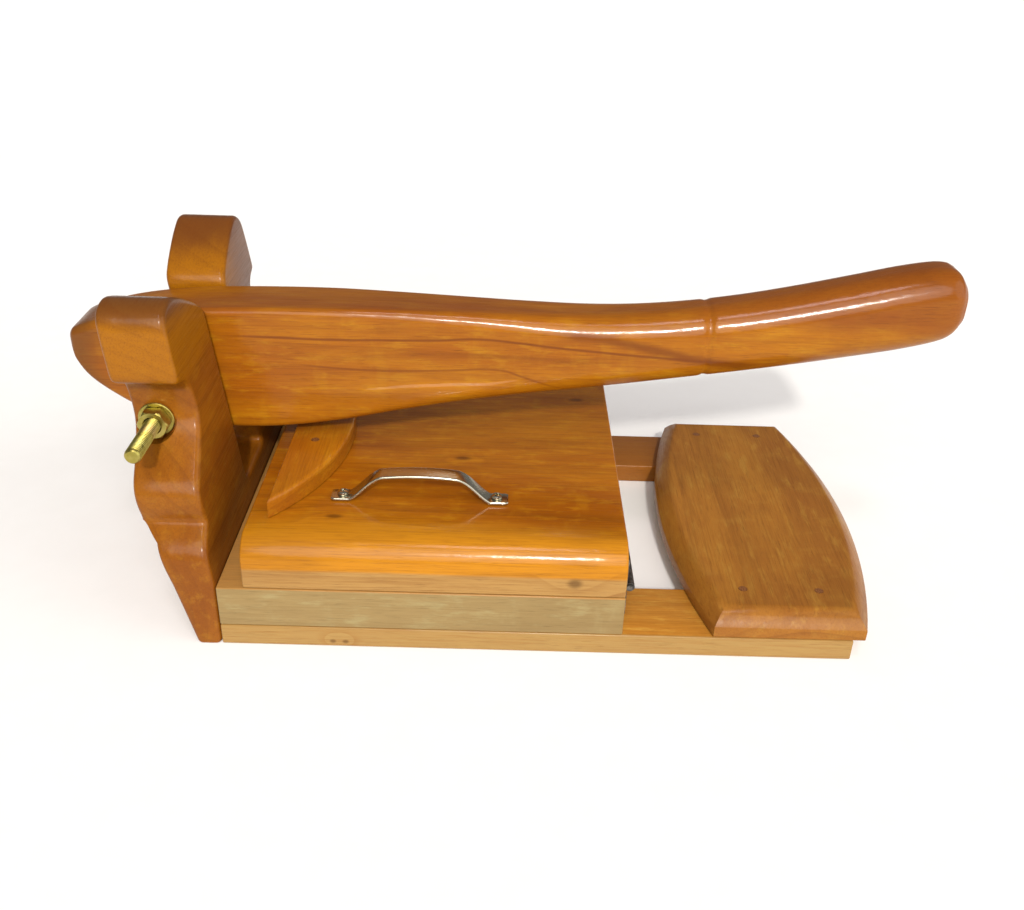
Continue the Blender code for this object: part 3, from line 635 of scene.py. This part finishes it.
def add_yoke(material):
    """The carved upright, thinner at its foot, leaning back above the bed, with its holes."""
    outline = yoke_outline()
    levels = eased(0.0, YOKE_THICKNESS, YOKE_ARRIS, 5)
    middle = len(levels) // 2
    levels[middle:middle] = [(YOKE_THICKNESS * share, 0.0) for share in (0.3, 0.5, 0.7)]
    shape = prism(outline, levels, lambda u, v, w: (w, u, v), rim=0.0)
    for height, _ in YOKE_BACK[1:]:
        whole = shape.verts[:] + shape.edges[:] + shape.faces[:]
        bmesh.ops.bisect_plane(shape, geom=whole, plane_co=(0, 0, height), plane_no=(0, 0, 1))
    for vert in shape.verts:
        depth = vert.co.x
        thickness = table_value(YOKE_BACK, vert.co.z)
        front_part = min(depth, YOKE_ARRIS)
        back_part = max(0.0, depth - (YOKE_THICKNESS - YOKE_ARRIS))
        middle_part = (depth - front_part - back_part) / (YOKE_THICKNESS - 2 * YOKE_ARRIS)
        lean = YOKE_LEAN * max(0.0, vert.co.z - BED_TOP)
        inside = front_part + back_part + middle_part * (thickness - 2 * YOKE_ARRIS)
        vert.co.x = YOKE_FRONT - lean - inside
    yoke = make_object("carved_yoke", shape, material, "base", "yoke_wood", "yoke")
    seat, spot, hole = SPOT_FACE_Y, SPOT_FACE_RADIUS, BOLT_HOLE_RADIUS
    profile = [(spot, -0.14), (spot, -seat), (hole, -seat), (hole, seat), (spot, seat), (spot, 0.14)]
    cutters = [turned(profile, PIVOT, (0, 1, 0), 48)]
    for number in (1, 2, 3, 4):
        low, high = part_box(f"yoke_screw_{number}")
        centre = (low + high) / 2
        radius = (high.y - low.y) / 2 + 0.0003
        start = (low.x + 0.004, centre.y, centre.z)
        cutters.append(turned([(radius, 0.0), (radius, 0.02)], start, (-1, 0, 0)))
    cut(yoke, cutters)


def line_height(table, x):
    """Height of a line given as (x, height) rows, level beyond its two ends."""
    if x <= table[0][0]:
        return table[0][1]
    return table_value(table, x)


def side_heights(x, low, high):
    """Heights down one side of the lever, close together where the blade's shallow step runs."""
    step_at = min(max(line_height(STEP_LINE, x), low + 0.0022), high - 0.004)
    above = [high + (step_at + 0.0018 - high) * share / 7 for share in range(1, 7)]
    close = [step_at + offset for offset in STEP_OFFSETS]
    below = [step_at - 0.0018 + (low - step_at + 0.0018) * share / 4 for share in range(1, 4)]
    return above + close + below, step_at


def lever_ring(station):
    """One section of the lever: a rounded rectangle whose sides step in above its lower band."""
    corner_steps, flat_steps = 8, 5
    x, bottom, top, half_width, radius = station
    groove = GROOVE_DEPTH * math.exp(-(((x - GROOVE_X) / GROOVE_WIDTH) ** 2))
    bottom, top, half_width = bottom + groove, top - groove, half_width - groove
    edge, low, high = half_width - radius, bottom + radius, top - radius
    levels, step_at = side_heights(x, low, high)
    across = [edge - 2 * edge * step / flat_steps for step in range(1, flat_steps)]
    points = arc((edge, high), radius, 0, 90, corner_steps) + [(y, top) for y in across]
    points += arc((-edge, high), radius, 90, 180, corner_steps) + [(-half_width, z) for z in levels]
    points += arc((-edge, low), radius, 180, 270, corner_steps) + [(-y, bottom) for y in across]
    points += arc((edge, low), radius, 270, 360, corner_steps)
    points += [(half_width, z) for z in reversed(levels)]
    fade = math.exp(-(((x - STEP_MIDDLE) / STEP_REACH) ** 4))
    ring = []
    for y, z in points:
        recess = STEP_DEPTH * fade / (1 + math.exp((step_at - z) / STEP_SHARPNESS))
        y -= math.copysign(recess, y) * min(1.0, abs(y) / half_width) ** 4
        ring.append((LEFT + x, y, z))
    return ring


def shrunk(ring, scale, shift):
    """A ring drawn in towards its middle and moved along X, to round off an end."""
    middle = sum((Vector(point) for point in ring), Vector()) / len(ring)
    offset = middle + Vector((shift, 0, 0))
    return [offset + (Vector(point) - middle) * scale for point in ring]


def add_lever(material):
    """The carved lever, with its sections close together at the turned groove."""
    stations = catmull(LEVER_STATIONS, 7)
    stations += [s for s in catmull(LEVER_STATIONS, 30) if abs(s[0] - GROOVE_X) < 0.008]
    stations = sorted(set(stations))
    spaced = [stations[0]]
    for station in stations[1:]:
        if station[0] - spaced[-1][0] > 0.0006:
            spaced.append(station)
    rings = [lever_ring(station) for station in spaced]
    tail = [shrunk(rings[0], scale, shift) for scale, shift in ((0.86, -0.00015), (0.93, -0.0001))]
    nose = [shrunk(rings[-1], scale, shift) for scale, shift in ((0.90, 0.0001), (0.80, 0.00015))]
    shape = skin(tail + rings + nose)
    lever = make_object("carved_lever", shape, material, "lever", "lever_wood", "lever")
    hole = [(BOLT_HOLE_RADIUS, -0.05), (BOLT_HOLE_RADIUS, 0.05)]
    cut(lever, [turned(hole, PIVOT, (0, 1, 0), 40)])


def add_lid(material):
    """The lid's board, with wide round edges along its front and back."""
    radius, foot = LID_ROUND, LID_FOOT
    low, high = LID_LOW + Vector((HAIR,) * 3), LID_HIGH - Vector((HAIR,) * 3)
    edge, turn = high.y - radius, high.z - radius
    outline = arc((high.y - foot, low.z + foot), foot, -90, 0, 3)
    outline += arc((edge, turn), radius, 0, 90, 18) + arc((-edge, turn), radius, 90, 180, 18)
    outline += arc((low.y + foot, low.z + foot), foot, 180, 270, 3)
    levels = eased(low.x, high.x, LID_END_EASE, 4)
    middle = len(levels) // 2
    levels[middle:middle] = [(low.x + (high.x - low.x) * step / 12, 0.0) for step in range(1, 12)]
    shape = prism(outline, levels, lambda u, v, w: (w, u, v))
    make_object("domed_lid", shape, material, "lid", "lid_wood", "lid")


def add_striker(material):
    """The bow-shaped block on the lid, with its top edge rounded and holes for its pegs."""
    low, high = STRIKER_LOW, STRIKER_HIGH
    half_chord, rise = high.y, high.x - low.x
    radius = (half_chord**2 + rise**2) / (2 * rise)
    reach = math.degrees(math.asin(half_chord / radius))
    outline = arc((high.x - radius, 0.0), radius, -reach, reach, 26)
    turn_from = high.z - STRIKER_TOP_EASE
    levels = [(low.z, 0.0004), (low.z + 0.0004, 0.0), (turn_from, 0.0)]
    for degrees in (18, 36, 54, 72, 90):
        a = math.radians(degrees)
        levels.append((turn_from + 0.0025 * math.sin(a), 0.0024 * (1 - math.cos(a))))
    shape = prism(outline, levels, lambda u, v, w: (u, v, w))
    striker = make_object("bow_striker", shape, material, "lid", "lid_wood", "striker_block")
    drill_pegs(striker, ("striker_peg_1", "striker_peg_2"))


def drill_pegs(piece, names):
    """Holes for pegs that stand upright, each as wide as its peg with a hair's breadth round it."""
    cutters = []
    for name in names:
        low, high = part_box(name)
        centre = (low + high) / 2
        radius = (high.x - low.x) / 2 + 0.00025
        profile = [(radius, -0.001), (radius, high.z - low.z + 0.01)]
        cutters.append(turned(profile, (centre.x, centre.y, low.z), (0, 0, 1)))
    cut(piece, cutters)


def board_ring(amount, height):
    """One ring of the rest board's barrel outline, drawn in by an amount."""
    steps = 22
    middle = (BOARD_LOW.x + BOARD_HIGH.x) / 2
    half_width = BOARD_HIGH.x - middle - BOARD_BULGE
    half_depth = HALF_DEPTH - amount
    points = []
    for side in (1, -1):
        for step in range(steps + 1):
            y = side * (2 * step / steps - 1) * half_depth
            out = half_width + BOARD_BULGE * (1 - (y / HALF_DEPTH) ** 2) - amount
            points.append((middle + side * out, y, height))
    return points


def add_board(material):
    """The rest board with its wide chamfer, as (inset, height) levels from its foot to its top."""
    chamfer, drop, ease, skim = BOARD_CHAMFER, BOARD_CHAMFER_DROP, BOARD_EASE, 0.00012
    low, high = BOARD_LOW.z + HAIR, BOARD_HIGH.z - HAIR
    levels = [(ease * 2, low), (ease, low), (skim, low + ease)]
    levels += [(skim, high - drop - ease * 0.6), (ease * 0.45, high - drop)]
    levels += [(chamfer * 0.5, high - drop * 0.46), (chamfer * 0.92, high - 0.0008)]
    levels += [(chamfer * 1.08, high), (chamfer * 1.25, high)]
    shape = skin([board_ring(amount, height) for amount, height in levels])
    board = make_object("barrel_board", shape, material, "base", "board_wood", "rest_board")
    drill_pegs(board, [f"{side}_board_peg_{number}" for side in ("front", "rear") for number in (1, 2)])


def add_base(bed_material, rail_material):
    """The bed and the two rails under it, with holes for the rails' screws."""
    ease = Vector((HAIR,) * 3)
    shape = rounded_box(BED_LOW + ease, BED_HIGH - ease, 0.0009)
    make_object("bed_block", shape, bed_material, "base", "bed_wood", "press_bed")
    for side in ("front", "rear"):
        low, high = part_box(f"{side}_rail")
        shape = rounded_box(low + ease, high - ease, 0.0010)
        rail = make_object(f"{side}_runner", shape, rail_material, "base", "rail_wood", f"{side}_rail")
        holes = []
        for number in (1, 2):
            screw_low, screw_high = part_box(f"{side}_rail_screw_{number}")
            centre = (screw_low + screw_high) / 2
            radius = (screw_high.x - screw_low.x) / 2 + 0.0003
            profile = [(radius, -0.001), (radius, 0.004)]
            holes.append(turned(profile, (centre.x, centre.y, 0.0), (0, 0, 1)))
        cut(rail, holes)


# ---------------- metal pieces


def strap_height(x):
    """Height of the bow handle's middle line above the lid at a distance x from its centre."""
    rise = STRAP_HIGH.z - STRAP_LOW.z - STRAP_THICKNESS
    share = min(1.0, max(0.0, (STRAP_FOOT_END - abs(x)) / STRAP_RAMP))
    smooth = math.sin(math.pi / 2 * share) ** STRAP_SHOULDER
    droop = 1.0 - STRAP_DROOP * (x / STRAP_FOOT_END) ** 2
    return STRAP_THICKNESS / 2 + smooth * droop * rise


def add_strap(material):
    """The bow handle: a flat strap with rounded edges, bent up between two feet."""
    low, high = STRAP_LOW, STRAP_HIGH
    centre_x, centre_y = (low.x + high.x) / 2, (low.y + high.y) / 2
    half_length, half_width = (high.x - low.x) / 2, (high.y - low.y) / 2
    thick, edge, steps = STRAP_THICKNESS / 2, 0.0009, 120
    section = arc((half_width - edge, thick - edge), edge, 0, 90, 4)
    section += arc((edge - half_width, thick - edge), edge, 90, 180, 4)
    section += arc((edge - half_width, edge - thick), edge, 180, 270, 4)
    section += arc((half_width - edge, edge - thick), edge, 270, 360, 4)
    rings = []
    for step in range(steps + 1):
        x = -half_length + 2 * half_length * step / steps
        slope = (strap_height(x + 0.0003) - strap_height(x - 0.0003)) / 0.0006
        normal = Vector((-slope, 0, 1)).normalized()
        end = min(step, steps - step)
        narrow = {0: 0.86, 1: 0.95}.get(end, 1.0)
        middle = Vector((centre_x + x, centre_y, low.z + strap_height(x)))
        thin = normal * min(1.0, narrow * 1.05)
        rings.append([middle + Vector((0, u * narrow, 0)) + thin * v for u, v in section])
    strap = make_object("bow_handle", skin(rings), material, "lid", "stainless_steel", "lid_handle")
    holes = []
    for side in (-1, 1):
        place = (centre_x + side * STRAP_SCREW_SPACING / 2, centre_y, low.z)
        profile = [(STRAP_HOLE_RADIUS, -0.001), (STRAP_HOLE_RADIUS, 0.006)]
        holes.append(turned(profile, place, (0, 0, 1)))
    cut(strap, holes)


def add_handle_screws(material):
    """Pan-head screws with a cross recess."""
    for name, turn in (("left", 0.35), ("right", -0.5)):
        low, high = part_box(f"{name}_handle_screw")
        centre = (low + high) / 2
        seat = STRAP_LOW.z + STRAP_THICKNESS + 0.0002
        r, top = SCREW_HEAD_RADIUS, high.z - seat
        tip, body = low.z - seat, SCREW_SHANK_RADIUS
        profile = [(0.0006, tip), (body, tip + 0.004), (body, 0.0), (r * 0.97, 0.0), (r, 0.0003)]
        profile += [(r, 0.0008), (r * 0.95, top * 0.68), (r * 0.80, top * 0.84), (r * 0.55, top * 0.95),
                    (r * 0.25, top - 0.00002), (r * 0.05, top)]
        shape = turned(profile, (centre.x, centre.y, seat), (0, 0, 1), 40)
        screw = make_object(f"{name}_pan_screw", shape, material, "lid", "stainless_steel",
                            f"{name}_handle_screw")
        arm, thin = r * 0.60, r * 0.15
        star = [(arm, -thin), (arm, thin), (thin, thin), (thin, arm), (-thin, arm), (-thin, thin),
                (-arm, thin), (-arm, -thin), (-thin, -thin), (-thin, -arm), (thin, -arm), (thin, -thin)]
        spin = Matrix.Rotation(turn, 2)
        star = [tuple(spin @ Vector(point)) for point in star]
        rings = []
        for scale, height in ((0.55, seat + 0.0004), (1.0, high.z + 0.0002)):
            rings.append([(centre.x + u * scale, centre.y + v * scale, height) for u, v in star])
        cut(screw, [skin(rings)])


def bolt_ring(radii, y):
    """A ring round the bolt's middle line, with one radius for each evenly spaced angle."""
    ring = []
    for step, radius in enumerate(radii):
        angle = 2 * math.pi * step / len(radii)
        ring.append((PIVOT.x + radius * math.cos(angle), y, PIVOT.z + radius * math.sin(angle)))
    return ring


def round_ring(radius, y, segments=96):
    return bolt_ring([radius] * segments, y)


def hex_radius(angle):
    """Distance from the hexagon's middle to its edge at an angle, with a corner at angle 0."""
    turn = (angle + math.pi / 6) % (math.pi / 3) - math.pi / 6
    return NUT_ACROSS_FLATS / 2 / math.cos(math.pi / 6 - abs(turn))


def hex_rings(base_y, levels, segments=96):
    """Rings of a hexagonal nut or head along Y, its corners cut back to each level's round limit."""
    flats = [hex_radius(2 * math.pi * step / segments) for step in range(segments)]
    return [bolt_ring([min(flat, limit) for flat in flats], base_y + along) for along, limit in levels]


def close_tube(outer, inner):
    """A ring-shaped solid between an outer and an inner set of rings, listed from one end to the other."""
    shape = bmesh.new()
    loops = [[shape.verts.new(point) for point in ring] for ring in outer + inner[::-1]]
    for first, second in zip(loops, loops[1:] + loops[:1]):
        bridge(shape, first, second)
    return shape


def add_bolt(material):
    """The M10 bolt along Y: a thread from its tip to just inside the yoke, and a hexagon head."""
    start, thread_end = BOLT_TIP_Y + 0.0002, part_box("pivot_nut")[1].y + 0.004
    spacing = THREAD_PITCH / THREAD_STEPS
    segments = 48
    rings = []
    for step in range(int((thread_end - start) / spacing) + 1):
        along = spacing * step
        run_in = min(1.0, along / THREAD_RUN_IN)
        chamfer = THREAD_RADIUS - 0.0011 + along * 0.9
        radii = []
        for turn in range(segments):
            phase = (along / THREAD_PITCH - turn / segments) % 1.0
            tooth = min(1.0, max(0.0, 1.6 * abs(phase * 2 - 1) - 0.2))
            radii.append(min(THREAD_RADIUS - THREAD_DEPTH * (1 - tooth) * run_in, chamfer))
        rings.append(bolt_ring(radii, start + along))
    for y in (thread_end + 0.001, BOLT_HEAD_Y):
        rings.append(round_ring(THREAD_RADIUS, y, segments))
    make_object("threaded_bolt", skin(rings), material, "base", "yellow_zinc", "pivot_bolt")
    corner = NUT_CORNER
    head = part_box("pivot_bolt")[1].y - BOLT_HEAD_Y - HAIR
    levels = [(0.0, corner * 0.93), (0.0002, corner * 0.95), (0.0009, corner * 1.01)]
    levels += [(head - 0.0014, corner * 1.01), (head - 0.0006, corner * 0.93)]
    levels += [(head, corner * 0.85), (head, corner * 0.60)]
    make_object("bolt_head", skin(hex_rings(BOLT_HEAD_Y, levels)), material, "base", "yellow_zinc")


def add_nut_and_washers(material):
    """The chamfered nut, and a washer on each side of the yoke, all with a hole for the bolt."""
    low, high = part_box("pivot_nut")
    corner, bore = NUT_CORNER, NUT_BORE
    height = high.y - low.y
    levels = [(0.0, corner * 0.86), (0.0007, corner * 0.94), (0.0014, corner * 1.01)]
    levels += [(height - 0.0014, corner * 1.01), (height - 0.0007, corner * 0.94), (height, corner * 0.86)]
    outer = hex_rings(low.y, levels)
    inner = [round_ring(bore + 0.0006, low.y), round_ring(bore, low.y + 0.0006)]
    inner += [round_ring(bore, high.y - 0.0006), round_ring(bore + 0.0006, high.y)]
    make_object("hex_nut", close_tube(outer, inner), material, "base", "yellow_zinc", "pivot_nut")
    for name in ("near_washer", "far_washer"):
        low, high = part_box(name)
        radius, ease = (high.x - low.x) / 2, 0.0004
        outer = [round_ring(radius - ease, low.y), round_ring(radius, low.y + ease)]
        outer += [round_ring(radius, high.y - ease), round_ring(radius - ease, high.y)]
        inner = [round_ring(bore + 0.0002, low.y), round_ring(bore + 0.0002, high.y)]
        make_object(f"{name}_disc", close_tube(outer, inner), material, "base", "yellow_zinc", name)


# ---------------- stage


def add_floor():
    """A plain pale floor a hair below the press."""
    floor_mesh = bpy.data.meshes.new("floor")
    size, level = FLOOR_HALF, -0.0002
    corners = [(-size, -size, level), (size, -size, level), (size, size, level), (-size, size, level)]
    floor_mesh.from_pydata(corners, [], [(0, 1, 2, 3)])
    s = Shader("pale_floor", 0.9)
    speck = s.noise(s.scaled(s.place, (40.0, 40.0, 40.0)), 3.0, 0.6)
    s.look("Base Color", s.mix(speck, (0.90, 0.89, 0.88), (0.93, 0.925, 0.92)))
    s.look("Specular IOR Level", 0.0)
    floor_mesh.materials.append(s.material)
    new_object("floor", floor_mesh)


def add_lights():
    """A dim world and distant lights, most of them from the front."""
    world = bpy.data.worlds.new("studio")
    world.use_nodes = True
    background = world.node_tree.nodes["Background"]
    background.inputs["Color"].default_value = (1.0, 0.985, 0.96, 1.0)
    background.inputs["Strength"].default_value = 0.22
    bpy.context.scene.world = world

    add_light("key", (0.09, -1.35, 1.05), 3.5, 1.8, (1.0, 0.97, 0.90))
    add_light("softbox", (0.09, -1.35, 1.05), 50.0, 2.15, (1.0, 0.97, 0.92))
    add_light("upper", (0.0, -0.55, 1.75), 10.0, 0.35, (1.0, 0.88, 0.95))
    add_light("side", (1.20, -0.45, 0.60), 60.0, 1.25, (1.0, 0.98, 0.95))


def add_camera():
    """The camera at the photograph's view."""
    yaw, pitch, roll = CAMERA_YAW, CAMERA_PITCH, CAMERA_ROLL
    ahead = Vector((math.sin(yaw) * math.cos(pitch), math.cos(yaw) * math.cos(pitch), -math.sin(pitch)))
    level = Vector((math.cos(yaw), -math.sin(yaw), 0.0))
    upward = level.cross(ahead)
    right = math.cos(roll) * level + math.sin(roll) * upward
    up = math.cos(roll) * upward - math.sin(roll) * level
    camera = new_object("camera", bpy.data.cameras.new("camera"))
    camera.data.lens = CAMERA_LENS
    turn = Matrix((right, up, -ahead)).transposed().to_4x4()
    camera.matrix_world = Matrix.Translation(CAMERA_PLACE) @ turn
    bpy.context.scene.camera = camera
    bpy.context.scene.view_settings.view_transform = "Standard"


def add_light(name, place, spread, strength, colour):
    """A soft distant light from the given place, spread over some degrees of the sky."""
    light = bpy.data.lights.new(name, "SUN")
    light.angle = math.radians(spread)
    light.energy = strength
    light.color = colour
    lamp = new_object(name, light)
    lamp.location = place
    ahead = LIGHTS_AIM - Vector(place)
    lamp.rotation_euler = ahead.to_track_quat("-Z", "Y").to_euler()


# ---------------- the whole press


def at(x, y, z):
    """A place given from the bed's left end, the middle and the ground."""
    return (LEFT + x, y, z)


def wood_materials():
    """The seven woods, with the figure, knots and changes of tone that each one shows; some of the tone
    zones are painted shade and painted light.
    """
    lever_lines = [
        ([(-0.020, 0.1632), (0.030, 0.1630), (0.080, 0.1625), (0.125, 0.1632), (0.157, 0.1649),
          (0.185, 0.1630), (0.209, 0.1609), (0.250, 0.1578), (0.310, 0.1540), (0.350, 0.1520)],
         0.0015, 0.85),
        ([(0.205, 0.1700), (0.2345, 0.1680), (0.2674, 0.1620), (0.3008, 0.1550), (0.345, 0.1500)],
         0.0055, 0.80),
        ([(0.030, 0.1450), (0.066, 0.1420), (0.093, 0.1410), (0.136, 0.1427), (0.168, 0.1438),
          (0.1845, 0.1400), (0.206, 0.1332), (0.220, 0.1280)], 0.0013, 0.60),
        ([(-0.020, 0.1520), (0.060, 0.1500), (0.120, 0.1525), (0.190, 0.1530), (0.240, 0.1480)],
         0.0030, 0.22),
    ]
    lever_streaks = [
        ([(LEFT + along, height) for along, height in line], width, strength)
        for line, width, strength in lever_lines
    ]
    lid_knots = [
        (*at(0.0697, -0.0997, 0.077), 0.0035),
        (*at(0.1465, -0.0226, 0.077), 0.0038),
        (*at(0.2286, 0.0714, 0.077), 0.0040),
        (*at(0.220, -0.132, 0.0537), 0.0030),
    ]
    rail_marks = [(*at(0.070, -0.132, 0.0042), 0.0013), (*at(0.078, -0.132, 0.0040), 0.0013)]
    return {
        "lever": wood(
            "lever_varnished_wood", "X", (0.06, 0.05), 0.0125, (0.16, 0.040, 0.003),
            (0.39, 0.141, 0.004), (0.30, 0.087, 0.003), contrast=0.40, warp=0.008,
            coat=0.40, coat_roughness=0.15, streaks=lever_streaks,
            # Painted shade: the first zone darkens the lever's top, where less light falls than on its
            # sides.
            zones=[("Z", 0.172, 0.186, (0.20, 0.048, 0.006), 0.75),
                   ("X", LEFT - 0.080, LEFT - 0.100, (0.15, 0.054, 0.008), 0.90)]),
        "yoke": wood(
            "yoke_varnished_wood", "Y", (LEFT - 0.10, 0.02), 0.0075, (0.13, 0.035, 0.004),
            (0.265, 0.086, 0.005), (0.205, 0.058, 0.004), contrast=0.35, warp=0.007,
            coat=0.30, coat_roughness=0.18,
            zones=[("Z", 0.155, 0.175, (0.33, 0.120, 0.003), 0.80),
                   # Painted shade: this zone darkens the yoke's top faces.
                   ("Z", 0.192, 0.206, (0.12, 0.040, 0.009), 0.85),
                   # Painted shade: this zone darkens the far horn.
                   ("Y", 0.020, 0.080, (0.15, 0.042, 0.005), 0.75)]),
        "lid": wood(
            "lid_varnished_wood", "X", (0.05, -0.12), 0.0095, (0.16, 0.045, 0.003),
            (0.42, 0.145, 0.004), (0.29, 0.080, 0.003), contrast=0.50, warp=0.010,
            coat=0.36, coat_roughness=0.16, knots=lid_knots,
            # Both zones are partly a paler wood tone and partly painted light: the lighter golden front
            # rounding and the pale lower front face.
            zones=[("Y", -0.095, -0.118, (0.52, 0.21, 0.008), 0.80),
                   ("Z", 0.0590, 0.0560, (0.38, 0.22, 0.07), 0.90)]),
        "striker": wood(
            "striker_varnished_wood", "Y", (LEFT + 0.05, -0.03), 0.0085, (0.16, 0.042, 0.004),
            (0.39, 0.135, 0.005), (0.30, 0.088, 0.004), contrast=0.35, warp=0.006,
            coat=0.36, coat_roughness=0.16),
        "bed": wood(
            "bed_pale_wood", "X", (-0.02, -0.09), 0.0080, (0.20, 0.125, 0.045),
            (0.30, 0.205, 0.082), (0.26, 0.175, 0.070), contrast=0.25, warp=0.006,
            coat=0.30, coat_roughness=0.22,
            zones=[("Z", BED_TOP - 0.0012, BED_TOP - 0.0003, (0.40, 0.19, 0.045), 0.9)]),
        "rail": wood(
            "rail_varnished_wood", "X", (0.03, -0.05), 0.0090, (0.24, 0.080, 0.010),
            (0.54, 0.245, 0.036), (0.46, 0.185, 0.024), contrast=0.35, warp=0.006,
            coat=0.32, coat_roughness=0.18, knots=rail_marks,
            zones=[("Y", -0.1295, -0.1315, (0.32, 0.21, 0.075), 0.85),
                   # Painted shade: this zone darkens the rear rail under the bed.
                   ("Y", 0.02, 0.08, (0.23, 0.072, 0.012), 0.85)]),
        "board": wood(
            "board_varnished_wood", "Y", (LEFT + 0.37, -0.05), 0.0105, (0.15, 0.048, 0.008),
            (0.355, 0.145, 0.020), (0.27, 0.100, 0.016), contrast=0.40, warp=0.009,
            coat=0.28, coat_roughness=0.24),
    }


def main():
    """Gives every CAD node a material, and adds the pieces and the stage."""
    woods = wood_materials()
    stainless = brushed_steel("brushed_stainless", (0.50, 0.48, 0.38), 0.20)
    zinc = yellow_zinc("yellow_zinc_plate")
    dark = dark_steel("dark_steel_plate")
    peg = peg_wood("peg_end_grain")
    for name, node in frame["nodes"].items():
        material = peg if "peg" in name else dark
        for index in range(len(node.data.materials)):
            node.data.materials[index] = material
    add_base(woods["bed"], woods["rail"])
    add_board(woods["board"])
    add_yoke(woods["yoke"])
    add_lever(woods["lever"])
    add_lid(woods["lid"])
    add_striker(woods["striker"])
    add_strap(stainless)
    add_handle_screws(stainless)
    add_bolt(yellow_zinc("yellow_zinc_thread", THREAD_RADIUS - 0.00005))
    add_nut_and_washers(zinc)
    add_floor()
    add_lights()
    add_camera()


main()
